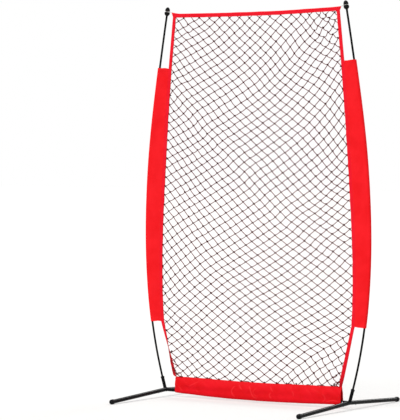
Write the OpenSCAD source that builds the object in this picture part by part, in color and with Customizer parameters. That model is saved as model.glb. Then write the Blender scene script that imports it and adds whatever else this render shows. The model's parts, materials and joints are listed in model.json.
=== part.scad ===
// Pitching target net: knotted netting held upright by two bowed fibreglass poles.
// The poles stand in sockets on a push-together tube base, locked by snap buttons.
// X runs across the net, Y from its front to its back and Z up.
// The origin is on the ground, midway between the two hubs.

/* [Base] */
// Distance between the centres of the two hubs
hub_span = 1188; // [990:1:1430]
// Level distance from a hub's centre to the middle of a foot cap
foot_reach = 486; // [380:1:590]
// Slope of the foot arms, down from the hub to the caps, in degrees
foot_slope = 3; // [1:0.1:5]
// Outer diameter of the foot tubes
foot_tube_d = 22; // [18:0.1:28]
// Outer diameter of the crossbar tubes
crossbar_d = 19; // [15:0.1:21.5]
// Wall of the foot and crossbar tubes
tube_wall = 1.2; // [0.9:0.1:1.6]
// Wall of the spigots that plug into them
spigot_wall = 1.4; // [1:0.1:2]
// Length of a spigot inside its tube
spigot_len = 60; // [45:1:90]
// Distance from a hub's centre to the end of its foot tube
hub_reach = 40; // [34:1:60]
// Distance from a hub's centre to the end of the crossbar
crossbar_start = 16; // [15:0.5:24]

/* [Foot caps] */
// Wall of a foot cap round its tube, which sets the cap's diameter and its rounded end
foot_cap_wall = 2.35; // [1.5:0.05:6]
// Length of the cap's skirt over the tube
foot_skirt = 14; // [8:0.5:22]
// Length of the cap's plug inside the tube
foot_plug = 24; // [15:0.5:40]
// Depth of the flat that the cap stands on
foot_flat = 0.5; // [0.3:0.1:1]

/* [Snap buttons] */
// Diameter of a snap button
button_d = 7.6; // [6:0.1:9]
// Height of a button above its tube
button_rise = 2.4; // [1.6:0.1:3.5]
// Distance from the end of a tube to its button
button_inset = 22; // [14:0.5:30]
// Thickness of the leaf spring under a button
leaf_t = 0.8; // [0.5:0.1:1]
// Length of the leaf spring, from its bend to the button
leaf_len = 27; // [20:0.5:30]

/* [Pole sockets] */
// Outward lean of a pole where it leaves its socket, in degrees
pole_lean = 16.5; // [12:0.1:21]
// Outer diameter of a socket tube
socket_d = 18; // [16:0.1:21]
// Wall of a socket tube
socket_wall = 1.1; // [0.8:0.1:1.5]
// Distance from a hub's centre to the top of the collar in its socket
socket_reach = 74; // [60:1:100]
// Outer diameter of the collar's flange
collar_d = 20.6; // [18.5:0.1:26]
// Height of the collar's flange
collar_h = 9; // [3:0.5:14]
// Length of the collar inside the socket
collar_plug = 24; // [12:0.5:40]

/* [Poles] */
// Length of a pole along its bend, from the hub's centre to the groove in its ball cap
pole_len = 2093; // [1740:1:2520]
// Total bend of a pole from its socket to its top, in degrees
pole_bend = 26.7; // [16:0.1:32]
// Outer diameter of the pole sections
pole_d = 11; // [9:0.1:12.5]
// Bore of the pole sections
pole_bore_d = 6.6; // [5:0.1:7.5]
// Length of a ferrule
ferrule_len = 80; // [50:1:110]
// Wall of a ferrule
ferrule_wall = 0.7; // [0.5:0.1:1]
// Diameter of the shock cord in the poles
shock_cord_d = 4; // [3:0.1:4.5]

/* [Ball caps] */
// Largest diameter of a ball cap
ball_d = 29.5; // [24:0.5:36]
// Height of a ball cap above its groove
ball_top = 24; // [18:0.5:30]
// Depth of a ball cap below its groove
ball_base = 24; // [20:0.5:30]
// Width of the groove
groove_w = 5; // [4:0.1:8]
// Diameter of the groove's floor
groove_d = 17; // [15.5:0.1:20]
// Diameter of the elastic loop's cord
elastic_d = 2.8; // [2:0.1:3.6]

/* [Net] */
// Distance from a ball cap's centre to the net's top corner
corner_gap = 31; // [25:0.5:50]
// Height of the ear at each top corner above the net's straight top edge
ear_rise = 7; // [3:0.5:12]
// Distance that an ear stands out past the side of the net
ear_reach = 9; // [4:0.5:14]
// Length of an ear along the top edge
ear_len = 55; // [30:1:90]
// Width of the binding round the net
binding_w = 20; // [14:0.5:30]
// Thickness of the binding's cloth
binding_cloth_t = 0.8; // [0.5:0.1:1.5]
// Depth of the net's edge inside the binding
tuck = 8; // [4:0.5:12]
// Width of one diamond of the netting, from side to side
mesh_w = 150; // [130:1:260]
// Height of one diamond of the netting
mesh_h = 121; // [105:1:220]
// Width of a strand of the netting
strand_w = 3; // [2:0.1:5]
// Thickness of a strand of the netting
strand_t = 2.4; // [1.5:0.1:4]
// Distance from a hub's centre to the net's lower corner, when it is even
corner_inset = 51; // [35:1:80]
// Distance that the net's lower corners have slid towards the right
corner_slip = 4; // [0:1:10]

/* [Pole sleeves] */
// Distance along the pole from the hub's centre to the lower end of the sleeve
sleeve_from = 397; // [330:1:480]
// Distance along the pole from the sleeve's upper end to the ball cap's groove
sleeve_below_top = 300; // [250:1:360]
// Distance that the right sleeve sits above its even place, and the left one below it
sleeve_slip = 11; // [0:1:20]
// Distance from the pole's centre to the binding at the ends of the sleeve
sleeve_end_w = 60; // [40:1:80]
// Distance from the pole's centre to the binding at the middle of the sleeve
sleeve_mid_w = 92; // [70:1:112]
// Share of the pole's lean that the sleeve's cut ends follow
sleeve_square = 0.4; // [0:0.05:1]
// Thickness of the sleeve's cloth
sleeve_cloth_t = 1; // [0.8:0.1:1.5]

/* [Bottom sleeve] */
// Distance from a hub's centre to the end of the bottom sleeve, when it is even
bottom_gap = 60; // [45:1:90]
// Distance that the bottom sleeve has slid towards the right
bottom_slip = 13; // [0:1:20]
// Height of the bottom sleeve's top edge above the ground
bottom_top = 112; // [95:1:145]
// Depth that the bottom sleeve hangs below the crossbar at mid-span
bottom_sag = 12; // [6:0.5:14]
// Depth of the cloth's folds
fold_depth = 3; // [0:0.5:5]
// Number of folds along the bottom sleeve
fold_count = 9; // [5:1:11]

/* [Hidden] */
SIDES = ["left", "right"];
ENDS = ["front", "back"];
SECTIONS = [1, 2, 3, 4];
FERRULES = [1, 2, 3];
HUB_BUTTONS = ["crossbar", "front", "back"];

// Clearances
slide_fit = 0.2;    // round a spigot, or a collar in its socket
glue_fit = 0.15;    // round a pole in its tip, collar or cap
ferrule_fit = 0.4;  // round a bent pole in its straight ferrule
tip_fit = 0.8;      // round a bent pole's tip in its socket
button_fit = 0.3;   // round a button in its hole, and over its foot
end_gap = 0.3;      // between tube ends, and under a piece that rests on another
sew_gap = 0.2;      // between cloth edges that are sewn together
cloth_fit = 0.5;    // between a sleeve and what it covers

// Radii
foot_r = foot_tube_d / 2;
foot_bore_r = foot_r - tube_wall;
foot_spigot_r = foot_bore_r - slide_fit;
foot_spigot_bore_r = foot_spigot_r - spigot_wall;
crossbar_r = crossbar_d / 2;
crossbar_bore_r = crossbar_r - tube_wall;
crossbar_spigot_r = crossbar_bore_r - slide_fit;
crossbar_spigot_bore_r = crossbar_spigot_r - spigot_wall;
foot_cap_r = foot_r + glue_fit + foot_cap_wall;
socket_r = socket_d / 2;
socket_bore_r = socket_r - socket_wall;
pole_r = pole_d / 2;
pole_bore_r = pole_bore_d / 2;
pole_seat_r = pole_r + glue_fit;
ferrule_bore_r = pole_r + ferrule_fit;
ferrule_r = ferrule_bore_r + ferrule_wall;
ball_r = ball_d / 2;
button_r = button_d / 2;
button_hole_r = button_r + button_fit;
FINE = 48;    // facets of a small round
SWEEP = 720;  // facets of a full turn of a pole's bend

// Base
hub_x = hub_span / 2;
foot_cap_z = foot_cap_r - foot_flat;
hub_z = foot_cap_z + foot_reach * tan(foot_slope);
arm_len = foot_reach / cos(foot_slope);
crossbar_end_x = hub_x - crossbar_start;
foot_seat = 2;         // from a cap's centre out to the seat of its tube
hub_web = 1.5;         // solid metal between a hub's bores
button_lip = 0.8;      // of a button's foot past the button
button_foot_r = button_r + button_lip;
button_foot_t = 1;

// Ends of a pole: the shock cord's end knots sit against the ends of the hollow sections.
knot_lip = 0.9;         // of a knot past its bore
knot_r = pole_bore_r + knot_lip;
knot_seat = sqrt(knot_r * knot_r - pole_bore_r * pole_bore_r) + end_gap;
tip_from = foot_r + hub_web + end_gap;
tip_floor = 2;
tip_grip = 10;
tip_r = socket_bore_r - tip_fit;
cap_seat = 5;          // from a cap's groove down to the end of its pole
rod_from = tip_from + tip_floor + knot_r + knot_seat + end_gap;
rod_to = pole_len - cap_seat;

// A pole bends in one arc per section, less towards its top. It lies on its socket's axis in
// the middle of the collar. Distances s run along it from the hub's centre.
section_len = (rod_to - rod_from) / len(SECTIONS);
joints = [for (i = [0:len(SECTIONS)]) rod_from + i * section_len];
LAST = len(SECTIONS) - 1;
stops = [for (i = [0:LAST]) joints[i], pole_len];
grip = socket_reach - (collar_h + collar_plug) / 2;
function faded_lean(s) = pole_lean - pole_bend * (1 - pow((pole_len - s) / (pole_len - grip), 2));
foot_lean = pole_lean + (pole_lean - faded_lean(stops[1])) * (grip - stops[0]) / (stops[1] - grip);
leans = [foot_lean, for (i = [1:LAST + 1]) faded_lean(stops[i])];
radii = [for (i = [0:LAST]) (stops[i + 1] - stops[i]) / ((leans[i] - leans[i + 1]) * PI / 180)];
function arc_centre(i) = i == 0
    ? [hub_x, hub_z] + grip * [sin(pole_lean), cos(pole_lean)] - radii[0] * [cos(pole_lean), -sin(pole_lean)]
    : arc_centre(i - 1) + (radii[i - 1] - radii[i]) * [cos(leans[i]), -sin(leans[i])];
centres = [for (i = [0:LAST]) arc_centre(i)];
function arc_of(s) = len([for (i = [1:LAST]) if (s >= stops[i]) i]);
function lean_on(i, s) = leans[i] + (leans[i + 1] - leans[i]) * (s - stops[i]) / (stops[i + 1] - stops[i]);
function lean_at(s) = lean_on(arc_of(s), s);
function pole_at(s) = centres[arc_of(s)] + radii[arc_of(s)] * [cos(lean_at(s)), -sin(lean_at(s))];

// The net's edge follows the pole along the sleeve, and runs straight to the net's corners.
SLEEVE_STATIONS = 22;
function side_sign(side) = side == "left" ? -1 : 1;
function sleeve_stops(side) = let (shift = side_sign(side) * sleeve_slip, top = pole_len - sleeve_below_top)
    [for (i = [0:SLEEVE_STATIONS]) sleeve_from + shift + (top - sleeve_from) * i / SLEEVE_STATIONS];
function sleeve_w(i) = sleeve_end_w + (sleeve_mid_w - sleeve_end_w) * sin(180 * i / SLEEVE_STATIONS);
// Point of a sleeve's cross-section at s, a distance u from the pole towards the net
function sleeve_point(s, u) = let (slope = lean_at(s) * sleeve_square)
    pole_at(s) + u * [-cos(slope), sin(slope)];
function sleeve_edge(side) = let (all = sleeve_stops(side))
    [for (i = [0:SLEEVE_STATIONS]) sleeve_point(all[i], sleeve_w(i))];
ear_tip = pole_at(pole_len) + corner_gap * [-cos(leans[LAST + 1]), sin(leans[LAST + 1])];
net_top = ear_tip[1] - ear_rise;
binding_inner_z = net_top - binding_w;
bottom_half = hub_x - bottom_gap;
// Where the edge between a sleeve and its ear crosses a height z
function upper_edge_x(side, z) =
    let (low = sleeve_edge(side)[SLEEVE_STATIONS], high = [ear_tip[0] - ear_reach, net_top])
    low[0] + (high[0] - low[0]) * (z - low[1]) / (high[1] - low[1]);
function side_edge(side, top) = concat(
    [[hub_x - corner_inset + side_sign(side) * corner_slip, bottom_top + sew_gap]],
    sleeve_edge(side),
    [[upper_edge_x(side, top), top]]
);
binding_t = strand_t + 2 * (binding_cloth_t + sew_gap);
slot_t = strand_t + 2 * sew_gap;

// Netting: diamonds cut from the outline, each trimmed to the space inside a rim.
RIM = 2;
SMALLEST_HOLE = 60;
function moved_in(points, dx) = [for (p = points) [p[0] - dx, p[1]]];
function mirrored(points) = [for (i = [len(points) - 1:-1:0]) [-points[i][0], points[i][1]]];
net_inset = binding_w - tuck + sew_gap;
net_top_z = binding_inner_z + tuck - sew_gap;
function net_side(side, inset) = let (edge = moved_in(side_edge(side, net_top_z - inset), net_inset + inset))
    [for (i = [0:len(edge) - 1]) i == 0 ? edge[i] + [0, inset] : edge[i]];
net_outline = concat(net_side("right", 0), mirrored(net_side("left", 0)));
fence = concat(net_side("right", RIM), mirrored(net_side("left", RIM)));
function left_of(p, a, b) = (b[0] - a[0]) * (p[1] - a[1]) - (b[1] - a[1]) * (p[0] - a[0]);
function cut_by(shape, a, b) = [for (i = [0:len(shape) - 1])
    let (p = shape[i], q = shape[(i + 1) % len(shape)], dp = left_of(p, a, b), dq = left_of(q, a, b))
    each concat(dp >= 0 ? [p] : [], (dp >= 0) != (dq >= 0) ? [p + (q - p) * dp / (dp - dq)] : [])];
function trimmed(shape, i = 0) = len(shape) < 3 || i == len(fence) ? shape
    : trimmed(cut_by(shape, fence[i], fence[(i + 1) % len(fence)]), i + 1);
function area_of(shape, i = 1) = i > len(shape) - 2 ? 0
    : left_of(shape[i + 1], shape[0], shape[i]) / 2 + area_of(shape, i + 1);
mesh_side = norm([mesh_w, mesh_h]) / 2;
hole_w = mesh_w / 2 - strand_w * mesh_side / mesh_h;
hole_h = mesh_h / 2 - strand_w * mesh_side / mesh_w;
mesh_rows = ceil(2 * (net_top - bottom_top) / mesh_h) + 1;
mesh_columns = ceil((hub_x + sleeve_mid_w * 2) / mesh_w);
net_holes = [for (row = [0:mesh_rows], column = [-mesh_columns:mesh_columns])
    let (x = (column + (row % 2) / 2) * mesh_w, z = bottom_top + row * mesh_h / 2,
        hole = trimmed([[x + hole_w, z], [x, z + hole_h], [x - hole_w, z], [x, z - hole_h]]))
    if (area_of(hole) > SMALLEST_HOLE) hole];

// Skin of a cloth sleeve: at each station, an outer loop and then an inner loop of points.
function skin_points(outer, inner) = [for (i = [0:len(outer) - 1]) each concat(outer[i], inner[i])];
function quad(a, b, c, d) = [[a, b, c], [a, c, d]];
function skin_faces(stations, n) = concat(
    [for (i = [0:stations - 2], j = [0:n - 1])
        let (a = i * 2 * n, b = a + 2 * n, k = (j + 1) % n)
        each concat(quad(a + j, a + k, b + k, b + j), quad(a + n + k, a + n + j, b + n + j, b + n + k))],
    [for (j = [0:n - 1])
        let (k = (j + 1) % n, last = (stations - 1) * 2 * n)
        each concat(quad(j, n + j, n + k, k), quad(last + k, last + n + k, last + n + j, last + j))]
);

// Half the thickness of a cloth sleeve, at a share of the way from its tube to its flat seam
DRAPE = 1.25;
function drawn_in(r, seam_half, share) = seam_half + (r - seam_half) * pow(1 - share, DRAPE);
ROUND_STEPS = 10;

module tube(r, bore, from, to) {
    translate([0, 0, from]) difference() {
        cylinder(r = r, h = to - from, $fn = FINE);
        translate([0, 0, -1]) cylinder(r = bore, h = to - from + 2, $fn = FINE);
    }
}

// Frames. The left hub is the right one turned half a turn. In an arm's frame, +Y runs outward
// along the tube and down to its cap.
module at_hub(side) {
    translate([side == "left" ? -hub_x : hub_x, 0, hub_z])
        rotate([0, 0, side == "left" ? 180 : 0]) children();
}

module at_arm(side, end) {
    translate([side == "left" ? -hub_x : hub_x, 0, hub_z])
        rotate([0, 0, end == "front" ? 180 : 0]) rotate([-foot_slope, 0, 0]) children();
}

module along_socket(side) {
    mirror([side == "left" ? 1 : 0, 0, 0])
        translate([hub_x, 0, hub_z]) rotate([0, pole_lean, 0]) children();
}

module along_pole(side, s) {
    p = pole_at(s);
    mirror([side == "left" ? 1 : 0, 0, 0])
        translate([p[0], 0, p[1]]) rotate([0, lean_at(s), 0]) children();
}

// A button's frame: +Z points out of the tube through the button, from the tube's axis.
module at_arm_button(side, end) {
    at_arm(side, end) translate([0, hub_reach + button_inset, 0]) rotate([180, 0, -90]) children();
}

module at_crossbar_button(side) {
    if (side == "middle") translate([button_inset, 0, hub_z]) rotate([90, 0, 0]) children();
    else at_hub(side) translate([-crossbar_start - button_inset, 0, 0]) rotate([90, 0, 0]) children();
}

module mitred(r, length) {
    back = r * tan(foot_slope) + 1;
    intersection() {
        rotate([-foot_slope, 0, 0]) rotate([-90, 0, 0])
            translate([0, 0, -back]) cylinder(r = r, h = length + back, $fn = FINE);
        translate([-2 * r, 0, -length]) cube([4 * r, 2 * length, 2 * length]);
    }
}

module hub_shape() {
    spigot_end = hub_reach + spigot_len;
    stub_end = crossbar_start + spigot_len;
    difference() {
        union() {
            for (turn = [0, 180]) rotate([0, 0, turn]) {
                mitred(foot_r, hub_reach);
                mitred(foot_spigot_r, spigot_end);
            }
            rotate([0, -90, 0]) cylinder(r = crossbar_r, h = crossbar_start, $fn = FINE);
            rotate([0, -90, 0]) cylinder(r = crossbar_spigot_r, h = stub_end, $fn = FINE);
            rotate([0, pole_lean, 0])
                cylinder(r = socket_r, h = socket_reach - collar_h - end_gap, $fn = FINE);
        }
        for (turn = [0, 180]) rotate([0, 0, turn]) {
            mitred(foot_spigot_bore_r, spigot_end + foot_r);
            rotate([-foot_slope, 0, 0]) translate([0, hub_reach + button_inset, -foot_r])
                cylinder(r = button_hole_r, h = foot_r, $fn = FINE);
        }
        rotate([0, -90, 0]) translate([0, 0, foot_r + hub_web])
            cylinder(r = crossbar_spigot_bore_r, h = stub_end, $fn = FINE);
        translate([-crossbar_start - button_inset, 0, 0]) rotate([90, 0, 0])
            cylinder(r = button_hole_r, h = crossbar_r, $fn = FINE);
        rotate([0, pole_lean, 0]) translate([0, 0, foot_r + hub_web])
            cylinder(r = socket_bore_r, h = socket_reach, $fn = FINE);
    }
}

module hub(side) {
    color("#232325") at_hub(side) hub_shape();
}

module crossbar(side) {
    color("#202022") difference() {
        translate([0, 0, hub_z]) rotate([0, side == "left" ? -90 : 90, 0])
            tube(crossbar_r, crossbar_bore_r, end_gap / 2, crossbar_end_x - end_gap);
        at_crossbar_button(side) cylinder(r = button_hole_r, h = crossbar_r + 1, $fn = FINE);
        if (side == "right") at_crossbar_button("middle")
            cylinder(r = button_hole_r, h = crossbar_r + 1, $fn = FINE);
    }
}

module crossbar_spigot() {
    color("#2a2a2c") difference() {
        translate([0, 0, hub_z]) rotate([0, 90, 0])
            tube(crossbar_spigot_r, crossbar_spigot_bore_r, -spigot_len, spigot_len);
        at_crossbar_button("middle") cylinder(r = button_hole_r, h = crossbar_r, $fn = FINE);
    }
}

module foot_arm(side, end) {
    color("#1e1e20") difference() {
        at_arm(side, end) rotate([-90, 0, 0])
            tube(foot_r, foot_bore_r, hub_reach + end_gap, arm_len + foot_seat - end_gap);
        at_arm_button(side, end) cylinder(r = button_hole_r, h = foot_r + 1, $fn = FINE);
    }
}

module foot_cap(side, end) {
    bevel = min(1.5, 0.65 * foot_cap_wall);
    plug_r = foot_bore_r - glue_fit;
    skirt_r = foot_r + glue_fit;
    profile = concat(
        [[0, foot_seat - foot_plug], [plug_r, foot_seat - foot_plug]],
        [[plug_r, foot_seat], [skirt_r, foot_seat]],
        [[skirt_r, -foot_skirt], [foot_cap_r - bevel, -foot_skirt], [foot_cap_r, bevel - foot_skirt]],
        [for (i = [0:FINE / 4 - 1]) let (a = 90 * i / (FINE / 4)) foot_cap_r * [cos(a), sin(a)]],
        [[0, foot_cap_r]]
    );
    color("#151516") difference() {
        at_arm(side, end) translate([0, arm_len, 0]) rotate([-90, 0, 0])
            rotate_extrude($fn = FINE) polygon(profile);
        translate([-hub_span, -2 * foot_reach, -2 * foot_cap_r])
            cube([2 * hub_span, 4 * foot_reach, 2 * foot_cap_r]);
    }
}

// Height of a button's foot in a spigot's bore, measured from the tube's axis
function button_foot_z(bore) = sqrt(bore * bore - button_foot_r * button_foot_r) - button_fit;

module button_shape(tube_r, bore) {
    top = tube_r + button_rise;
    foot = button_foot_z(bore);
    dome = min(button_r, button_rise) * 0.9;
    profile = concat(
        [[0, foot - button_foot_t], [button_foot_r, foot - button_foot_t]],
        [[button_foot_r, foot], [button_r, foot]],
        [for (i = [0:8]) let (a = 90 * i / 8) [button_r - dome + dome * cos(a), top - dome + dome * sin(a)]],
        [[0, top]]
    );
    rotate_extrude($fn = FINE) polygon(profile);
}

module crossbar_button(side) {
    color("#b9bcc0") at_crossbar_button(side) button_shape(crossbar_r, crossbar_spigot_bore_r);
}

module arm_button(side, end) {
    color("#b9bcc0") at_arm_button(side, end) button_shape(foot_r, foot_spigot_bore_r);
}

// A folded leaf: one leg under the button, a round bend, and one leg on the far wall.
module leaf_spring(bore) {
    width = button_d;
    top = button_foot_z(bore) - button_foot_t;
    floor_z = glue_fit - sqrt(bore * bore - width * width / 4);
    bend_r = min(2, (top - floor_z) / 2 - leaf_t);
    mid = (top + floor_z) / 2;
    tail = button_r;
    function bend(r, from, way) = [for (i = [0:12]) let (a = from + way * 180 * i / 12)
        [-leaf_len, mid] + r * [cos(a), sin(a)]];
    rotate([90, 0, 0]) translate([0, 0, -width / 2]) linear_extrude(width) polygon(concat(
        [[tail, top]],
        bend(bend_r + leaf_t, 90, 1),
        [[tail, floor_z], [tail, floor_z + leaf_t]],
        bend(bend_r, 270, -1),
        [[tail, top - leaf_t]]
    ));
}

module button_springs() {
    color("#9a9da1") {
        for (side = ["middle", "left", "right"])
            at_crossbar_button(side) leaf_spring(crossbar_spigot_bore_r);
        for (side = SIDES, end = ENDS)
            at_arm_button(side, end) leaf_spring(foot_spigot_bore_r);
    }
}

// Sweep of a flat shape along arc i of the pole, from s = from to s = to
module bent(side, i, from, to) {
    mirror([side == "left" ? 1 : 0, 0, 0]) translate([centres[i][0], 0, centres[i][1]]) rotate([90, 0, 0])
        rotate_extrude(angle = lean_on(i, from) - lean_on(i, to), start = -lean_on(i, from), $fn = SWEEP)
            translate([radii[i], 0]) children();
}

module ring(r, bore) {
    difference() {
        circle(r = r, $fn = FINE);
        circle(r = bore, $fn = FINE);
    }
}

module pole_section(side, number) {
    i = number - 1;
    from = joints[i] + end_gap / 2;
    to = joints[i + 1] - end_gap / 2;
    color("#161617") bent(side, i, from, to) ring(pole_r, pole_bore_r);
}

// A straight tube, centred between the bent pole's middle line and its chord
module ferrule(side, number) {
    s = joints[number];
    bow = ferrule_len * ferrule_len / 8 / radii[number];
    color("#8f9296") along_pole(side, s) translate([-bow / 2, 0, 0])
        tube(ferrule_r, ferrule_bore_r, -ferrule_len / 2, ferrule_len / 2);
}

module pole_tip(side) {
    low = tip_from - rod_from;
    color("#111112") along_pole(side, rod_from) difference() {
        translate([0, 0, low]) cylinder(r = tip_r, h = tip_grip - low, $fn = FINE);
        translate([0, 0, low + tip_floor]) cylinder(r = knot_r + glue_fit, h = tip_grip, $fn = FINE);
        cylinder(r = pole_seat_r, h = 2 * tip_grip, $fn = FINE);
    }
}

module pole_collar(side) {
    flange_from = socket_reach - collar_h;
    rounding = 2;
    profile = concat(
        [[pole_seat_r, flange_from - collar_plug], [socket_bore_r - slide_fit, flange_from - collar_plug],
         [socket_bore_r - slide_fit, flange_from], [collar_d / 2, flange_from]],
        [for (i = [0:6]) let (a = 90 * i / 6)
            [collar_d / 2 - rounding + rounding * cos(a), socket_reach - rounding + rounding * sin(a)]],
        [[pole_seat_r, socket_reach]]
    );
    color("#18181a") along_socket(side) rotate_extrude($fn = FINE) polygon(profile);
}

// Tube of round cord as one skin: at each station, a ring of points round the cord's middle line.
function tube_faces(stations, n, closed) = concat(
    [for (i = [0:stations - (closed ? 1 : 2)], j = [0:n - 1])
        let (a = i * n, b = ((i + 1) % stations) * n, k = (j + 1) % n) each quad(a + j, b + j, b + k, a + k)],
    closed ? [] : [[for (j = [0:n - 1]) j], [for (j = [n - 1:-1:0]) (stations - 1) * n + j]]
);

// A cord with a ball-like knot at each end, drawn from its lower end to its upper one
module shock_cord(side) {
    n = 8;
    cord_r = shock_cord_d / 2;
    knot_steps = 4;
    span_steps = 36;
    low = rod_from - knot_seat;
    high = rod_to + knot_seat;
    function knot(s, way) = [for (i = [0:knot_steps]) let (a = 15 + 40 * way + (130 - 40) * i / knot_steps)
        [s - knot_r * cos(a), knot_r * sin(a)]];
    stations = concat(
        knot(low, 0),
        [for (i = [0:span_steps]) [rod_from + (rod_to - rod_from) * i / span_steps, cord_r]],
        knot(high, 1)
    );
    points = [for (q = stations, j = [0:n - 1])
        let (a = 360 * j / n, p = pole_at(q[0]), slope = lean_at(q[0]), out = q[1] * cos(a))
        [p[0] + out * cos(slope), q[1] * sin(a), p[1] - out * sin(slope)]];
    color("#d8d4c8") mirror([side == "left" ? 1 : 0, 0, 0])
        polyhedron(points = points, faces = tube_faces(len(stations), n, false));
}

function ellipse_arc(centre_z, rx, rz, from, to, steps) = [for (i = [0:steps])
    let (a = from + (to - from) * i / steps) [rx * cos(a), centre_z + rz * sin(a)]];

module ball_cap(side) {
    half_groove = groove_w / 2;
    wall = 1.6;
    neck_r = pole_seat_r + wall;
    belly_z = -ball_base * 0.4;
    belly_rz = ball_base * 0.6;
    step = 1.2; // from the ball below the groove in to the dome above it
    dome_r = ball_r - step;
    bore_top = knot_seat + knot_r + end_gap - cap_seat;
    neck_angle = acos(neck_r / ball_r);
    lip_angle = asin((-half_groove - belly_z) / belly_rz);
    profile = concat(
        [[pole_seat_r, -ball_base], [neck_r, -ball_base]],
        ellipse_arc(belly_z, ball_r, belly_rz, -neck_angle, lip_angle, 14),
        [[groove_d / 2, -half_groove], [groove_d / 2, half_groove]],
        ellipse_arc(half_groove, dome_r, ball_top - half_groove, 0, 84, 14),
        [[0, ball_top], [0, bore_top], [pole_seat_r, bore_top]]
    );
    color("#141415") along_pole(side, pole_len) rotate_extrude($fn = FINE) polygon(profile);
}

// Closed cord loop: round the cap's groove and out to the net's corner, in the groove's plane.
module elastic_loop(side) {
    wrap_r = groove_d / 2 + elastic_d / 2 + glue_fit;
    eye_r = elastic_d * 0.8;
    eye_u = corner_gap - eye_r - elastic_d / 2 - end_gap;
    touch = acos((wrap_r - eye_r) / eye_u);
    wrap_steps = 24;
    eye_steps = 8;
    path = concat(
        [for (i = [0:wrap_steps]) let (a = touch + (360 - 2 * touch) * i / wrap_steps)
            [wrap_r * cos(a), wrap_r * sin(a), a]],
        [for (i = [0:eye_steps]) let (a = -touch + 2 * touch * i / eye_steps)
            [eye_u + eye_r * cos(a), eye_r * sin(a), a]]
    );
    sides = 8;
    points = [for (p = path, j = [0:sides - 1]) let (a = 360 * j / sides, out = elastic_d / 2 * cos(a))
        [-(p[0] + out * cos(p[2])), p[1] + out * sin(p[2]), elastic_d / 2 * sin(a)]];
    color("#e6e6e4") along_pole(side, pole_len)
        polyhedron(points = points, faces = tube_faces(len(path), sides, true));
}

module upright(thickness) {
    translate([0, thickness / 2, 0]) rotate([90, 0, 0]) linear_extrude(thickness) children();
}

module netting() {
    color("#1a1a1c") upright(strand_t) difference() {
        polygon(net_outline);
        for (hole = net_holes) polygon(hole);
    }
}

module top_binding() {
    function end(side) = [
        [upper_edge_x(side, binding_inner_z), binding_inner_z], ear_tip, [ear_tip[0] - ear_len, net_top]
    ];
    function slot_end(side) = [
        [upper_edge_x(side, binding_inner_z) - net_inset + sew_gap, binding_inner_z - 1],
        [upper_edge_x(side, net_top_z) - net_inset + sew_gap, binding_inner_z + tuck]
    ];
    color("#e5232c") difference() {
        upright(binding_t) polygon(concat(end("right"), mirrored(end("left"))));
        upright(slot_t) polygon(concat(slot_end("right"), mirrored(slot_end("left"))));
    }
}

module side_binding(side) {
    edge = side_edge(side, binding_inner_z - sew_gap);
    function strip(outer, inner) = concat(
        moved_in(edge, outer),
        [for (i = [len(edge) - 1:-1:0]) edge[i] - [inner, 0]]
    );
    color("#e5232c") mirror([side == "left" ? 1 : 0, 0, 0]) difference() {
        upright(binding_t) polygon(strip(0, binding_w));
        upright(slot_t) polygon(strip(net_inset - sew_gap, binding_w + 1));
    }
}

module pole_sleeve(side) {
    channel_r = ferrule_r + cloth_fit;
    seam_half = binding_t / 2;
    hem = 14;
    shares = [0.4, 0.7];
    function section(r, half, reach) = concat(
        [for (i = [0:ROUND_STEPS]) let (a = 100 + 160 * i / ROUND_STEPS) r * [cos(a), sin(a)]],
        [for (share = shares) [reach * share, -drawn_in(r, half, share)]],
        [[reach, -half], [reach, half]],
        [for (i = [len(shares) - 1:-1:0]) [reach * shares[i], drawn_in(r, half, shares[i])]]
    );
    function placed(points, s) = [for (p = points) let (q = sleeve_point(s, p[0])) [q[0], p[1], q[1]]];
    all = sleeve_stops(side);
    outer = [for (i = [0:SLEEVE_STATIONS])
        placed(section(channel_r + sleeve_cloth_t, seam_half, sleeve_w(i) - sew_gap), all[i])];
    inner = [for (i = [0:SLEEVE_STATIONS])
        placed(section(channel_r, seam_half - sleeve_cloth_t, sleeve_w(i) - sew_gap - hem), all[i])];
    color("#f5262e") mirror([side == "left" ? 1 : 0, 0, 0])
        polyhedron(points = skin_points(outer, inner), faces = skin_faces(len(outer), len(outer[0])));
}

module bottom_sleeve() {
    stations = 29;
    channel_r = crossbar_r + button_rise + 2 * cloth_fit;
    seam_half = binding_t / 2;
    hem = 12;
    shares = [0.3, 0.55, 0.8];
    height = bottom_top - hub_z;
    snug = crossbar_r + cloth_fit;
    end_share = 0.35; // of the folds' depth that is left at the sleeve's ends
    function fade(u) = 1 - u * u;
    function fold(u, share) = fold_depth * sin(90 * fold_count * (u + 1))
        * (end_share + (1 - end_share) * fade(u)) * sin(180 * share);
    function side_points(r, half, reach, u, way) = [for (share = shares)
        [way * drawn_in(r, half, share) + fold(u, share), reach * share]];
    function section(r, low, half, reach, u) = concat(
        [for (i = [0:ROUND_STEPS]) let (a = 180 + 180 * i / ROUND_STEPS) [r * cos(a), low * sin(a)]],
        side_points(r, half, reach, u, 1),
        [[half, reach], [-half, reach]],
        let (back = side_points(r, half, reach, u, -1)) [for (i = [len(back) - 1:-1:0]) back[i]]
    );
    function placed(points, u) = [for (p = points) [bottom_slip + u * bottom_half, p[0], hub_z + p[1]]];
    across = [for (i = [0:stations - 1]) 2 * i / (stations - 1) - 1];
    outer = [for (u = across) let (low = snug + sleeve_cloth_t + bottom_sag * fade(u))
        placed(section(channel_r + sleeve_cloth_t, low, seam_half, height, u), u)];
    inner = [for (u = across) let (low = snug + bottom_sag * fade(u))
        placed(section(channel_r, low, seam_half - sleeve_cloth_t, height - hem, u), u)];
    color("#f5262e")
        polyhedron(points = skin_points(outer, inner), faces = skin_faces(stations, len(outer[0])));
}

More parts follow.
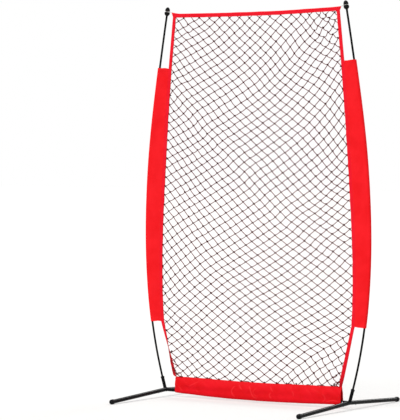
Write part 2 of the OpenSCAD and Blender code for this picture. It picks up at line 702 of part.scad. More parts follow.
for (side = SIDES) {
    hub(side);
    crossbar(side);
    for (end = ENDS) {
        foot_arm(side, end);
        foot_cap(side, end);
        arm_button(side, end);
    }
    crossbar_button(side);
    for (i = SECTIONS)
        pole_section(side, i);
    for (i = FERRULES)
        ferrule(side, i);
    pole_tip(side);
    pole_collar(side);
    shock_cord(side);
    ball_cap(side);
    elastic_loop(side);
    side_binding(side);
    pole_sleeve(side);
}
crossbar_spigot();
crossbar_button("middle");  // button_crossbar_middle
button_springs();
netting();
top_binding();
bottom_sleeve();
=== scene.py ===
import bpy, json, math, random
from mathutils import Matrix, Vector, noise

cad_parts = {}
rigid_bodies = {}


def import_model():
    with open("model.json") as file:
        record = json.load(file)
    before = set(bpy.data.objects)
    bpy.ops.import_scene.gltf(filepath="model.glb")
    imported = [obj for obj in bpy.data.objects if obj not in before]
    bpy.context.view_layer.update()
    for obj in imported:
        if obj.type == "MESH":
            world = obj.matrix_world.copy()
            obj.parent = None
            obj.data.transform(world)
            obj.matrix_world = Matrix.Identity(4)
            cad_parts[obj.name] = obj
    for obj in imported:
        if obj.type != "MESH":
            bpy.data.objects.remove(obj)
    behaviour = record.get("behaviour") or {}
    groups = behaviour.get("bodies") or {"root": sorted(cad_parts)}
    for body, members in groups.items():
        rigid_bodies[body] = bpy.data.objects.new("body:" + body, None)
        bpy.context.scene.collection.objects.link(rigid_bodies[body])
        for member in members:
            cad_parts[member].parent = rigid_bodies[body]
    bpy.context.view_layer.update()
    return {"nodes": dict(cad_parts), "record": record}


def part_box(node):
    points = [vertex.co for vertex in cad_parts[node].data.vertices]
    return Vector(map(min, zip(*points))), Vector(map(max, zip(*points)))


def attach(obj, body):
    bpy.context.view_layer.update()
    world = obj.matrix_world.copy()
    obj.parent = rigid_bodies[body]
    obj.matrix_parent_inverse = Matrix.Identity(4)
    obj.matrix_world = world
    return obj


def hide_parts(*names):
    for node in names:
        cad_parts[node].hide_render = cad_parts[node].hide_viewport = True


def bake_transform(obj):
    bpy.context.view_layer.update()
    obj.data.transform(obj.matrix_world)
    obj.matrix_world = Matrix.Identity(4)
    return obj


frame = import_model()
nodes = frame["nodes"]
sides = {"left": -1, "right": 1}
netBody = "frame_and_net"
scene = bpy.context.scene
print("frame loaded:", len(nodes), "nodes")


# Small helpers

def deselectAll():
    bpy.ops.object.select_all(action="DESELECT")


def activate(piece):
    deselectAll()
    piece.select_set(True)
    bpy.context.view_layer.objects.active = piece


def addModifier(piece, kind, **settings):
    activate(piece)
    modifier = piece.modifiers.new(kind.title(), kind)
    for key, value in settings.items():
        setattr(modifier, key, value)
    bpy.ops.object.modifier_apply(modifier=modifier.name)


def smooth(piece, degrees):
    activate(piece)
    bpy.ops.object.shade_smooth_by_angle(angle=math.radians(degrees))


def settle(piece, material):  # last step of every new piece
    piece.data.materials.clear()
    piece.data.materials.append(material)
    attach(piece, netBody)
    return piece


def link(name, data):  # an object of its own for a mesh or curve
    piece = bpy.data.objects.new(name, data)
    scene.collection.objects.link(piece)
    return piece


def makeGrid(name, along, across):  # a flat grid from 0 to 1 both ways, to be laid out point by point
    deselectAll()
    middle = (0.5, 0.5, 0)
    bpy.ops.mesh.primitive_grid_add(x_subdivisions=along, y_subdivisions=across, size=1, location=middle)
    piece = bpy.context.object
    piece.name = name
    bpy.ops.object.transform_apply(location=True, rotation=True, scale=True)
    return piece


def spreadUv(mesh, length, width):  # the flat grid's UV map, in metres
    layer = mesh.uv_layers.active.data
    for loop in mesh.loops:
        spot = mesh.vertices[loop.vertex_index].co
        layer[loop.index].uv = (spot.x * length, spot.y * width)


def takeShape(model):  # points and faces of a small model that is going to be copied, and the model goes
    shape = [vertex.co.copy() for vertex in model.data.vertices]
    faces = [tuple(polygon.vertices) for polygon in model.data.polygons]
    bpy.data.objects.remove(model)
    return shape, faces


def roundCorners(points):  # cuts each corner of a line into a curve
    for _ in range(2):
        cut = [points[0]]
        for a, b in zip(points, points[1:]):
            cut += [a * 0.75 + b * 0.25, a * 0.25 + b * 0.75]
        points = cut + [points[-1]]
    return points


def mix(a, b, share):
    return a + (b - a) * share


def clamp(value, low=0.0, high=1.0):
    return max(low, min(high, value))


def easeIn(value):
    t = clamp(value)
    return t * t * (3 - 2 * t)


def between(rows, place):  # a smooth curve through a table of (place, value), level outside it
    if place <= rows[0][0]:
        return rows[0][1]
    for k in range(len(rows) - 1):
        (a, p), (b, q) = rows[k], rows[k + 1]
        if place <= b:
            before, after = rows[max(k - 1, 0)], rows[min(k + 2, len(rows) - 1)]
            first = (q - before[1]) / (b - before[0]) * (b - a)
            last = (after[1] - p) / (after[0] - a) * (b - a)
            t = (place - a) / (b - a)
            second, third = 3 * (q - p) - 2 * first - last, first + last - 2 * (q - p)
            return p + t * first + t * t * second + t ** 3 * third
    return rows[-1][1]


def wander(x, y=0.0, z=0.0):  # smooth noise from -1 to 1, the same on every run
    return noise.noise(Vector((x, y, z))) * 1.6


# Camera

camera = {
    "lens": 207.03,         # in millimetres, on a sensor of 36 mm
    "sensor": 36,
    "azimuth": 35.33,       # degrees to the right of the net's front
    "elevation": 1.81,
    "distance": 13.109,
    "aim": (-0.3586, 0.0, 1.0283),
    "roll": -0.13,
    "clip": (0.1, 200),
}


def makeCamera():
    a, e, r = (math.radians(camera[k]) for k in ("azimuth", "elevation", "roll"))
    back = Vector((math.sin(a) * math.cos(e), -math.cos(a) * math.cos(e), math.sin(e)))
    right = Vector((math.cos(a), math.sin(a), 0))
    up = back.cross(right)
    tiltedRight = right * math.cos(r) + up * math.sin(r)
    tiltedUp = up * math.cos(r) - right * math.sin(r)
    place = Matrix((tiltedRight, tiltedUp, back)).transposed().to_4x4()
    place.translation = Vector(camera["aim"]) + back * camera["distance"]
    bpy.ops.object.camera_add()
    eye = bpy.context.object
    eye.name = "camera"
    eye.matrix_world = place
    eye.data.lens = camera["lens"]
    eye.data.sensor_width = camera["sensor"]
    eye.data.clip_start, eye.data.clip_end = camera["clip"]
    scene.camera = eye


deselectAll()
makeCamera()
print("camera placed")


# Materials

waveLength = 0.314159       # how far a wave texture of scale 1 runs before it repeats


def toLinear(hexColour):
    channels = [int(hexColour[i:i + 2], 16) / 255 for i in (1, 3, 5)]
    return [c / 12.92 if c <= 0.04045 else ((c + 0.055) / 1.055) ** 2.4 for c in channels] + [1.0]


def addNode(tree, kind, settings=None, links=None):
    node = tree.nodes.new(kind)
    for key, value in (settings or {}).items():
        if key == "stops":                      # of a ramp: (place, colour) for each
            for stop, (place, colour) in zip(node.color_ramp.elements, value):
                stop.position, stop.color = place, toLinear(colour)
        elif isinstance(key, int) or key in node.inputs:
            node.inputs[key].default_value = value
        else:
            setattr(node, key, value)
    for key, source in (links or {}).items():
        tree.links.new(source, node.inputs[key])
    return node


def newMaterial(name, values):
    material = bpy.data.materials.new(name)
    material.use_nodes = True
    tree = material.node_tree
    tree.nodes.clear()
    output = addNode(tree, "ShaderNodeOutputMaterial")
    shader = addNode(tree, "ShaderNodeBsdfPrincipled", values)
    tree.links.new(shader.outputs["BSDF"], output.inputs["Surface"])
    return material, tree, shader


def finishSurface(tree, shader, colour, rough, relief):
    # rough is (pattern, low, high) or nothing, relief has layers of (pattern, strength, depth in metres)
    tree.links.new(colour, shader.inputs["Base Color"])
    if rough:
        pattern, low, high = rough
        limits = {"From Min": 0.3, "From Max": 0.7, "To Min": low, "To Max": high}
        spread = addNode(tree, "ShaderNodeMapRange", limits, {"Value": pattern})
        tree.links.new(spread.outputs["Result"], shader.inputs["Roughness"])
    links = {}
    for pattern, strength, depth in relief:
        links["Height"] = pattern
        bump = addNode(tree, "ShaderNodeBump", {"Strength": strength, "Distance": depth}, links)
        links["Normal"] = bump.outputs["Normal"]
    tree.links.new(links["Normal"], shader.inputs["Normal"])


def makePowderCoat():
    # Polyester powder coat, sprayed on steel and baked: satin black, with a fine orange peel
    # and faint rub marks where the tubes slide into each other.
    material, tree, shader = newMaterial("powderCoatedSteel", {"IOR": 1.5, "Specular IOR Level": 0.06})
    place = {"Vector": addNode(tree, "ShaderNodeTexCoord").outputs["Object"]}
    cells = {"Scale": 1 / 0.0012, "Detail": 1.5}                        # orange peel of 1.2 mm
    marks = {"Scale": 1 / 0.045, "Detail": 3.0, "Roughness": 0.6}       # handling marks of 45 mm
    specks = {"Scale": 1 / 0.0035, "Detail": 4.0, "Roughness": 0.7}     # dust in the coat, 3.5 mm apart
    peel = addNode(tree, "ShaderNodeTexNoise", cells, place).outputs["Fac"]
    rubs = addNode(tree, "ShaderNodeTexNoise", marks, place).outputs["Fac"]
    grit = addNode(tree, "ShaderNodeTexNoise", specks, place).outputs["Fac"]
    shades = {"stops": [(0.3, "#08080a"), (0.7, "#111113")]}
    colour = addNode(tree, "ShaderNodeValToRGB", shades, {"Fac": rubs}).outputs["Color"]
    finishSurface(tree, shader, colour, (rubs, 0.25, 0.34), [(peel, 0.25, 0.00012), (grit, 0.12, 0.00008)])
    return material


def makeMouldedPlastic():
    # Injection-moulded soft PVC: nearly matt black with the fine grain of a spark-eroded mould.
    material, tree, shader = newMaterial("mouldedPvc", {"IOR": 1.53, "Specular IOR Level": 0.08})
    place = {"Vector": addNode(tree, "ShaderNodeTexCoord").outputs["Object"]}
    sparks = {"Scale": 1 / 0.0006, "Roughness": 0.6}    # mould grain of 0.6 mm
    patches = {"Scale": 1 / 0.012}                      # dull and shiny patches of 12 mm
    grain = addNode(tree, "ShaderNodeTexNoise", sparks, place).outputs["Fac"]
    bloom = addNode(tree, "ShaderNodeTexNoise", patches, place).outputs["Fac"]
    shades = {"stops": [(0.3, "#08080a"), (0.7, "#111112")]}
    colour = addNode(tree, "ShaderNodeValToRGB", shades, {"Fac": bloom}).outputs["Color"]
    finishSurface(tree, shader, colour, (bloom, 0.4, 0.52), [(grain, 0.3, 0.00008)])
    return material


def makeZincPlate():
    # Pressed steel, zinc plated: bright, slightly blue, with fine tumbling marks.
    material, tree, shader = newMaterial("zincPlatedSteel", {"Metallic": 1.0})
    place = {"Vector": addNode(tree, "ShaderNodeTexCoord").outputs["Object"]}
    tumbled = {"Scale": 1 / 0.0009, "Detail": 3.0, "Roughness": 0.65}   # tumbling marks of 0.9 mm
    marks = addNode(tree, "ShaderNodeTexNoise", tumbled, place).outputs["Fac"]
    shades = {"stops": [(0.3, "#a9adb2"), (0.7, "#c8cbcf")]}
    colour = addNode(tree, "ShaderNodeValToRGB", shades, {"Fac": marks}).outputs["Color"]
    finishSurface(tree, shader, colour, (marks, 0.22, 0.36), [(marks, 0.2, 0.00004)])
    return material


def makeSpringSteel():
    # Cold-rolled spring steel strip, blued and oiled: grey, with rolling lines along Z.
    material, tree, shader = newMaterial("rolledSpringSteel", {"Metallic": 1.0})
    place = {"Vector": addNode(tree, "ShaderNodeTexCoord").outputs["Object"]}
    drawn = {"Vector": addNode(tree, "ShaderNodeMapping", {"Scale": (1, 1, 0.04)}, place).outputs["Vector"]}
    rolling = {"Scale": 1 / 0.0004}                     # rolling lines 0.4 mm apart
    lines = addNode(tree, "ShaderNodeTexNoise", rolling, drawn).outputs["Fac"]
    shades = {"stops": [(0.3, "#7f8286"), (0.7, "#9a9da1")]}
    colour = addNode(tree, "ShaderNodeValToRGB", shades, {"Fac": lines}).outputs["Color"]
    finishSurface(tree, shader, colour, (lines, 0.3, 0.42), [(lines, 0.15, 0.00003)])
    return material


def makeFibreglass(name, lean):
    # Pultruded fibreglass rod, black all through: semi-gloss, with glass strands drawn lengthwise,
    # so the pattern is turned to the section's own lean.
    material, tree, shader = newMaterial(name, {"IOR": 1.55, "Specular IOR Level": 0.06})
    place = {"Vector": addNode(tree, "ShaderNodeTexCoord").outputs["Object"]}
    along = {"vector_type": "TEXTURE", "Rotation": (0, math.radians(lean), 0), "Scale": (1, 1, 60)}
    turned = {"Vector": addNode(tree, "ShaderNodeMapping", along, place).outputs["Vector"]}
    rovings = {"Scale": 1 / 0.0011, "Detail": 2.5, "Roughness": 0.6}    # 1.1 mm wide, some 70 mm long
    singles = {"Scale": 1 / 0.0004}                                     # strands of 0.4 mm
    strands = addNode(tree, "ShaderNodeTexNoise", rovings, turned).outputs["Fac"]
    veins = addNode(tree, "ShaderNodeTexNoise", singles, turned).outputs["Fac"]
    shades = {"stops": [(0.3, "#060607"), (0.7, "#101011")]}
    colour = addNode(tree, "ShaderNodeValToRGB", shades, {"Fac": strands}).outputs["Color"]
    finishSurface(tree, shader, colour, (strands, 0.27, 0.4), [(veins, 0.25, 0.00005)])
    return material


def makeCloth(name, dark, light, dipShade, highlightColour):
    # Coated polyester oxford cloth, plain woven from 0.5 mm threads: red with a soft sheen, and small
    # creases from being packed, their hollows painted a shade darker. Along sharp folds the colour is
    # lifted to a paler red, a painted highlight on the crease ridges. The weave reads each piece's own
    # UV map, which is in metres.
    values = {"IOR": 1.5, "Specular IOR Level": 0.1, "Sheen Weight": 0.01, "Sheen Roughness": 0.4}
    material, tree, shader = newMaterial(name, values)
    coordinates = addNode(tree, "ShaderNodeTexCoord")
    flat, place = {"Vector": coordinates.outputs["UV"]}, {"Vector": coordinates.outputs["Object"]}
    period = 0.0010  # one thread over and one under
    weave = {"wave_type": "BANDS", "wave_profile": "SIN", "Scale": waveLength / period, "Distortion": 0.0}
    warp = addNode(tree, "ShaderNodeTexWave", {**weave, "bands_direction": "X"}, flat).outputs["Fac"]
    weft = addNode(tree, "ShaderNodeTexWave", {**weave, "bands_direction": "Y"}, flat).outputs["Fac"]
    over = addNode(tree, "ShaderNodeMath", {"operation": "SUBTRACT"}, {0: warp, 1: weft}).outputs["Value"]
    thread = addNode(tree, "ShaderNodeMath", {"operation": "ABSOLUTE"}, {0: over}).outputs["Value"]
    creased = {"Scale": 1 / 0.028, "Detail": 3.0, "Roughness": 0.55}    # packing creases of 28 mm
    swollen = {"Scale": 1 / 0.11}                                       # slow swells of 110 mm
    packed = addNode(tree, "ShaderNodeTexNoise", creased, place).outputs["Fac"]
    soft = addNode(tree, "ShaderNodeTexNoise", swollen, place).outputs["Fac"]
    # the colour follows the crease and swell bumps: a random tone, and darker in their hollows as painted
    # shade
    weighed = {"operation": "MULTIPLY_ADD", 1: 0.45}
    toneAndShade = addNode(tree, "ShaderNodeMath", weighed, {0: packed, 2: soft}).outputs["Value"]
    shades = {"stops": [(0.55, dark), (0.9, light)]}
    colour = addNode(tree, "ShaderNodeValToRGB", shades, {"Fac": toneAndShade}).outputs["Color"]
    # painted shade: darker where the threads dip under each other
    dips = {"From Min": 0.15, "From Max": 0.0, "To Min": 0.0, "To Max": 0.22}
    dipShading = addNode(tree, "ShaderNodeMapRange", dips, {"Value": thread}).outputs["Result"]
    blended = {"data_type": "RGBA", "blend_type": "MIX"}
    woven = addNode(tree, "ShaderNodeMix", {**blended, 7: toLinear(dipShade)}, {0: dipShading, 6: colour})
    # painted highlight: the colour is mixed towards a pale red where the mesh marks a crease ridge
    creaseHighlight = addNode(tree, "ShaderNodeAttribute", {"attribute_name": "creaseHighlight"}).outputs["Fac"]
    most = {"From Min": 0.0, "From Max": 1.0, "To Min": 0.0, "To Max": 0.7}
    highlightShare = addNode(tree, "ShaderNodeMapRange", most, {"Value": creaseHighlight}).outputs["Result"]
    highlighted = addNode(tree, "ShaderNodeMix", {**blended, 7: toLinear(highlightColour)}, {0: highlightShare, 6: woven.outputs[2]})
    relief = [(soft, 0.35, 0.004), (packed, 0.3, 0.0012), (thread, 0.25, 0.00012)]
    finishSurface(tree, shader, highlighted.outputs[2], (packed, 0.48, 0.6), relief)
    return material


def makeTwine(name, dark, light):
    # Twisted polyethylene twine, three strands laid together: wine red to brown, waxy, with a twist
    # that comes round every 3 mm and shows as slanting grooves. The knots take a near-black copy of it:
    # painted shade.
    material, tree, shader = newMaterial(name, {"IOR": 1.51, "Specular IOR Level": 0.08})
    place = {"Vector": addNode(tree, "ShaderNodeTexCoord").outputs["Object"]}
    laid = {"wave_type": "BANDS", "bands_direction": "Z", "wave_profile": "SIN"}
    laid.update({"Scale": waveLength / 0.003, "Distortion": 0.4, "Detail": 1.0})
    twist = addNode(tree, "ShaderNodeTexWave", laid, place).outputs["Fac"]
    filaments = {"Scale": 1 / 0.0008, "Roughness": 0.6}     # of 0.8 mm
    fibre = addNode(tree, "ShaderNodeTexNoise", filaments, place).outputs["Fac"]
    shades = {"stops": [(0.1, dark), (0.9, light)]}
    colour = addNode(tree, "ShaderNodeValToRGB", shades, {"Fac": twist}).outputs["Color"]
    finishSurface(tree, shader, colour, (fibre, 0.62, 0.8), [(twist, 0.5, 0.0003), (fibre, 0.2, 0.0001)])
    return material


def makeElastic():
    # Braided elastic cord: white polyester plaited over rubber, crossing every 1.6 mm.
    material, tree, shader = newMaterial("braidedElastic", {"Roughness": 0.75, "Sheen Weight": 0.2})
    flat = {"Vector": addNode(tree, "ShaderNodeTexCoord").outputs["UV"]}
    plies = {"wave_type": "BANDS", "bands_direction": "DIAGONAL", "wave_profile": "SIN"}
    plies["Scale"] = waveLength / 0.0016
    one = addNode(tree, "ShaderNodeTexWave", plies, flat).outputs["Fac"]
    mirrored = {"Vector": addNode(tree, "ShaderNodeMapping", {"Scale": (-1, 1, 1)}, flat).outputs["Vector"]}
    other = addNode(tree, "ShaderNodeTexWave", plies, mirrored).outputs["Fac"]
    plait = addNode(tree, "ShaderNodeMath", {"operation": "MAXIMUM"}, {0: one, 1: other}).outputs["Value"]
    shades = {"stops": [(0.3, "#c9c7c1"), (0.9, "#f0efeb")]}
    colour = addNode(tree, "ShaderNodeValToRGB", shades, {"Fac": plait}).outputs["Color"]
    finishSurface(tree, shader, colour, None, [(plait, 0.6, 0.0003)])
    return material


def makeThread():
    # Polyester sewing thread, twisted: the cloth's red, a little darker and shinier.
    material, tree, shader = newMaterial("sewingThread", {"Roughness": 0.45, "Sheen Weight": 0.1})
    place = {"Vector": addNode(tree, "ShaderNodeTexCoord").outputs["Object"]}
    plies = {"Scale": 1 / 0.0005, "Detail": 1.0}            # of 0.5 mm
    ply = addNode(tree, "ShaderNodeTexNoise", plies, place).outputs["Fac"]
    shades = {"stops": [(0.3, "#c4161f"), (0.7, "#e02129")]}
    colour = addNode(tree, "ShaderNodeValToRGB", shades, {"Fac": ply}).outputs["Color"]
    finishSurface(tree, shader, colour, None, [(ply, 0.3, 0.0001)])
    return material


powderCoat = makePowderCoat()
mouldedPlastic = makeMouldedPlastic()
zincPlate = makeZincPlate()
springSteel = makeSpringSteel()
# each cloth's fourth colour is the painted shade in the weave's dips, its fifth the painted highlight on
# crease ridges
redCloth = makeCloth("coatedOxford", "#f5121b", "#fd1b24", "#c80a14", "#ff4a4e")
# the panel's copy of the same cloth, a shade darker all over: painted shade
panelClothShaded = makeCloth("coatedOxfordPanelShaded", "#e60914", "#ee0e1e", "#ba0612", "#ff3a3e")
tapeCloth = makeCloth("foldedOxfordTape", "#ee1226", "#f6182c", "#c00a1c", "#ff4a50")
netTwine = makeTwine("twistedTwine", "#661a1c", "#84292c")
# the knots' copy of the twine, near black: painted shade
knotTwineShaded = makeTwine("knottedTwineShaded", "#2c0d0e", "#481819")
elasticBraid = makeElastic()
redThread = makeThread()
print("materials made")


# Bent pole, as the frame has it

footSlope = math.radians(3)
pole = {
    "hubX": 0.594,
    "hubZ": 0.013 + 0.486 * math.tan(footSlope),  # height of a foot cap's middle, and the arm's rise
    "lean": 16.5,         # degrees, in the socket
    "bend": 26.7,         # degrees, from the socket to the top
    "length": 2.093,      # from the hub's centre to the groove of the ball cap
    "grip": 0.0575,       # where the socket lets go of it
    "rodFrom": 0.0221981,
    "rodTo": 2.088,
    "sections": 4,
}


def fadedLean(s):  # the pole bends less and less towards its top
    return pole["lean"] - pole["bend"] * (1 - ((pole["length"] - s) / (pole["length"] - pole["grip"])) ** 2)


def makeArcs():  # one arc for each section: from, to, first and last lean, radius, centre
    count = pole["sections"]
    step = (pole["rodTo"] - pole["rodFrom"]) / count
    stops = [pole["rodFrom"] + i * step for i in range(count)] + [pole["length"]]
    leans = [0.0] + [fadedLean(s) for s in stops[1:]]
    inside, free = pole["grip"] - stops[0], stops[1] - pole["grip"]
    leans[0] = pole["lean"] + (pole["lean"] - leans[1]) * inside / free
    radii = [(stops[i + 1] - stops[i]) / math.radians(leans[i] - leans[i + 1]) for i in range(count)]
    a = math.radians(pole["lean"])
    centre = Vector((pole["hubX"], pole["hubZ"])) + pole["grip"] * Vector((math.sin(a), math.cos(a)))
    centre = centre - radii[0] * Vector((math.cos(a), -math.sin(a)))
    arcs = []
    for i in range(count):
        if i:
            a = math.radians(leans[i])
            centre = centre + (radii[i - 1] - radii[i]) * Vector((math.cos(a), -math.sin(a)))
        arcs.append((stops[i], stops[i + 1], leans[i], leans[i + 1], radii[i], centre.copy()))
    return arcs


arcs = makeArcs()


def arcOf(s):
    return [arc for arc in arcs if arc is arcs[0] or s >= arc[0]][-1]


def leanAt(s):
    arc = arcOf(s)
    return math.radians(mix(arc[2], arc[3], (s - arc[0]) / (arc[1] - arc[0])))


def poleAt(s):  # x and z of the right pole's middle line
    arc, a = arcOf(s), leanAt(s)
    return arc[5] + arc[4] * Vector((math.cos(a), -math.sin(a)))


def dressNodes():
    for name, piece in nodes.items():
        if name.startswith(("hub", "crossbar", "foot_arm")):
            material = powderCoat
        elif name.startswith(("foot_cap", "ball_cap", "pole_tip", "pole_collar")):
            material = mouldedPlastic
        elif name == "button_springs" or name.startswith("ferrule"):
            material = springSteel
        elif name.startswith("button"):
            material = zincPlate
        elif name.startswith("pole_section"):
            number, side = int(name.split("_")[2]), name.split("_")[3]
            first, last = arcs[number - 1][2:4]
            lean = sides[side] * (first + last) / 2
            material = makeFibreglass("pultrudedFibreglass_%d_%s" % (number, side), lean)
        else:
            continue
        piece.data.materials.clear()
        piece.data.materials.append(material)


dressNodes()
print("frame dressed")


# Leaf springs inside the spigots, split into a piece each, and each named after the nearest button

spring = {"leaf": 0.0008, "merge": 0.00001}  # thickness of the strip, and what counts as one point


def makeSprings():
    presses = {joint["child"]: Vector(joint["axis"]) for joint in frame["record"]["behaviour"]["joints"]}
    middles = {button: sum((Vector(end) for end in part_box(button)), Vector()) / 2 for button in presses}
    before = set(scene.objects)
    activate(link("leaf_spring", nodes["button_springs"].data.copy()))
    bpy.ops.object.mode_set(mode="EDIT")
    bpy.ops.mesh.select_all(action="SELECT")
    bpy.ops.mesh.remove_doubles(threshold=spring["merge"])
    bpy.ops.mesh.separate(type="LOOSE")
    bpy.ops.object.mode_set(mode="OBJECT")
    made = [piece for piece in scene.objects if piece not in before]
    for piece in made:
        spots = [vertex.co.copy() for vertex in piece.data.vertices]
        centre = sum(spots, Vector()) / len(spots)
        button = min(middles, key=lambda name: (middles[name] - centre).length)
        piece.name = button.replace("button", "leaf_spring")
        smooth(piece, 30)
        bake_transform(piece)
        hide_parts("button_springs")
    return made


print("springs made:", len(makeSprings()))


# Net's outline

border = {
    "cornerIn": 0.051,      # lower corners, from the hubs
    "cornerSlip": 0.004,    # and how far both are slid to the right
    "bottom": 0.1122,       # height of the bottom seam
    "binding": 0.020,       # width of the side bindings
    "topBinding": 0.0215,   # and of the top one
    "sag": 0.0056,          # of the net's top edge between the corners
    "cornerRise": 0.0050,   # its right end is drawn up
    # how the bottom seam waves: x, then how far above the bottom
    "seam": [
        (-0.52, 0.0020), (-0.37, 0.0018), (-0.17, -0.0010), (0.03, -0.0018), (0.21, 0.0015),
        (0.40, 0.0055), (0.54, 0.0075),
    ],
    # how far the loose lower part of each side is rolled to the back: height, then degrees
    "rolls": {
        "left": [
            (0.106, 0), (0.114, 70), (0.122, 98), (0.150, 100), (0.186, 94), (0.260, 58), (0.400, 0),
            (0.460, 0),
        ],
        "right": [
            (0.106, 0), (0.114, 40), (0.124, 72), (0.150, 52), (0.182, 30), (0.300, 12), (0.400, 0),
            (0.460, 0),
        ],
    },
    "rollReach": 0.018,     # how far into the net a roll pulls it along
    "steps": 60,            # of each side, along its sleeve
    "tuck": {"left": 0.012, "right": 0.001},    # how far the bottom of each is drawn in
    "cornerGap": 0.031,     # from the ball cap's groove to the tip of the corner's ear
    "earRise": 0.007,       # how far the tip is above the net's top and outside its side
    "earReach": 0.009,
    "earLength": 0.055,     # how much of the top binding the ear takes up
}
sleeve = {
    "from": 0.3935,         # along the pole
    "belowTop": 0.300,
    "slip": 0.011,          # the right sleeve sits higher, the left one lower
    "endWidth": 0.060,
    "midWidth": 0.092,
    "square": 0.4,          # how far its ends turn with the pole's lean
    "flat": (0.215, 1.396),
    "wrap": 160,            # degrees of the pole's outside that it lies round
    "past": (0.0014, 0.0015),   # how far each leg goes past the pole's middle, and past the binding's edge
    "outer": {"left": 0.0081, "right": 0.0097},  # outer radius of the cloth round the pole
    "ease": 0.0024,         # how much looser it is towards the top
    "seamHalf": 0.0021,     # half its thickness where it is sewn to the binding
    "cloth": 0.0008,
    "hem": 0.016,
    "hemThick": 0.0005,
    # how high its folds are: slow and quick ones, gathers beside the binding, and pulls at both ends
    "slow": 0.0022,
    "quick": 0.0009,
    "gather": 0.0007,
    "pull": 0.0012,
    "stations": 240,
    "across": 72,
}


def sleeveStop(side, t):
    low, high = sleeve["from"], pole["length"] - sleeve["belowTop"]
    return mix(low, high, t) + sides[side] * sleeve["slip"]


def sleeveWidth(t):
    return sleeve["endWidth"] + (sleeve["midWidth"] - sleeve["endWidth"]) * math.sin(math.pi * clamp(t))


def sleevePoint(s, u):
    slope = leanAt(s) * sleeve["square"]
    return poleAt(s) + u * Vector((-math.cos(slope), math.sin(slope)))


topLean = leanAt(pole["length"])
earTip = poleAt(pole["length"]) + border["cornerGap"] * Vector((-math.cos(topLean), math.sin(topLean)))
netTop = earTip.y - border["earRise"]


def makeEdge(side):  # x and z of the net's side, from its lower corner up, as if on the right
    steps = border["steps"]
    cornerX = pole["hubX"] - border["cornerIn"] + sides[side] * border["cornerSlip"]
    points = [Vector((cornerX, border["bottom"]))]
    points += [sleevePoint(sleeveStop(side, i / steps), sleeveWidth(i / steps)) for i in range(steps + 1)]
    points.append(Vector((earTip.x - border["earReach"], netTop)))
    return points


edges = {side: makeEdge(side) for side in sides}


def sideOf(x):
    return "right" if x > 0 else "left"


def edgeX(side, z):  # the side's outer edge at a height
    points = edges[side]
    for a, b in zip(points, points[1:]):
        if z <= b.y or b is points[-1]:
            return mix(a.x, b.x, (z - a.y) / (b.y - a.y))


def topAt(x):  # the net's top edge
    w = clamp(x / earTip.x, -1.0, 1.0)
    return netTop - border["sag"] * (1 - w * w) + border["cornerRise"] * easeIn((w - 0.15) / 0.85)


def seamAt(x):  # the seam along its bottom
    return border["bottom"] + between(border["seam"], x)


def rolled(x, y, z):  # where a point of the flat net or binding goes as its side rolls
    side = sideOf(x)
    turn = math.radians(between(border["rolls"][side], z))
    tucked = border["tuck"][side] * easeIn((border["bottom"] + 0.010 - z) / 0.014)
    if abs(turn) < 0.001 and tucked == 0:
        return x, y, z
    half = border["binding"] / 2
    middle = edgeX(side, max(z, border["bottom"])) - half
    out, c, s = abs(x) - middle, math.cos(turn), math.sin(turn)
    if out > -half:
        return math.copysign(middle - tucked + out * c - y * s, x), out * s + y * c, z
    fade = math.exp((half + out) / border["rollReach"])     # the net is pulled along, less and less
    return math.copysign(middle + out + (half * (1 - c) - tucked) * fade, x), y - half * s * fade, z


def depthInside(x, z):  # how far a point is inside the net's opening
    beside = edgeX(sideOf(x), z) - border["binding"] - abs(x)
    return min(beside, topAt(x) - border["topBinding"] - z, z - seamAt(x))


# Cloth

def makeSheet(name, part, place, mirrored=False):  # place gives the point at u along and v across
    piece = makeGrid(name, part["stations"], part["across"])
    mesh = piece.data
    spreadUv(mesh, part["flat"][1], part["flat"][0])
    for vertex in mesh.vertices:
        u, v = vertex.co.x, vertex.co.y
        vertex.co = place(u, 1 - v if mirrored else v)
    mesh.update()
    addModifier(piece, "SOLIDIFY", thickness=part["cloth"], offset=-1.0, use_rim=True)
    smooth(piece, 60)
    return piece


stitch = {
    "half": (0.00145, 0.00036, 0.0003),
    "pitch": 0.0045,
    "proud": 0.0001,        # how far it stands off the cloth
}


def makeStitch():  # one stitch, modelled once: a small grain of thread, 20 faces
    deselectAll()
    bpy.ops.mesh.primitive_ico_sphere_add(subdivisions=1, radius=1.0)
    bpy.ops.object.mode_set(mode="EDIT")
    bpy.ops.mesh.select_all(action="SELECT")
    bpy.ops.transform.resize(value=stitch["half"])
    bpy.ops.object.mode_set(mode="OBJECT")
    return takeShape(bpy.context.object)


stitchShape, stitchFaces = makeStitch()


def joinCopies(name, shape, faces, places):  # one mesh from many placed copies of a shape
    points, polygons = [], []
    for place in places:
        first = len(points)
        points += [place @ point for point in shape]
        polygons += [tuple(first + k for k in face) for face in faces]
    mesh = bpy.data.meshes.new(name)
    mesh.from_pydata(points, [], polygons)
    piece = link(name, mesh)
    smooth(piece, 80)
    return piece


def sewRows(name, rows):  # rows of (point at t and a little aside of it, length), t from 0 to 1
    places = []
    for pointAt, length in rows:
        count = int(length / stitch["pitch"])
        for k in range(count):
            t = (k + 0.5) / count
            here, aside = pointAt(t, 0.0), pointAt(t, 0.002)
            along = (pointAt(min(t + 0.0005, 1.0), 0.0) - pointAt(max(t - 0.0005, 0.0), 0.0)).normalized()
            out = along.cross(aside - here).normalized()
            if out.y * here.y < 0:
                out = -out
            across = out.cross(along)
            turn = Matrix((along, across, out)).transposed().to_4x4()
            turn.translation = here + out * stitch["proud"]
            places.append(turn)
    return settle(joinCopies(name, stitchShape, stitchFaces, places), redThread)


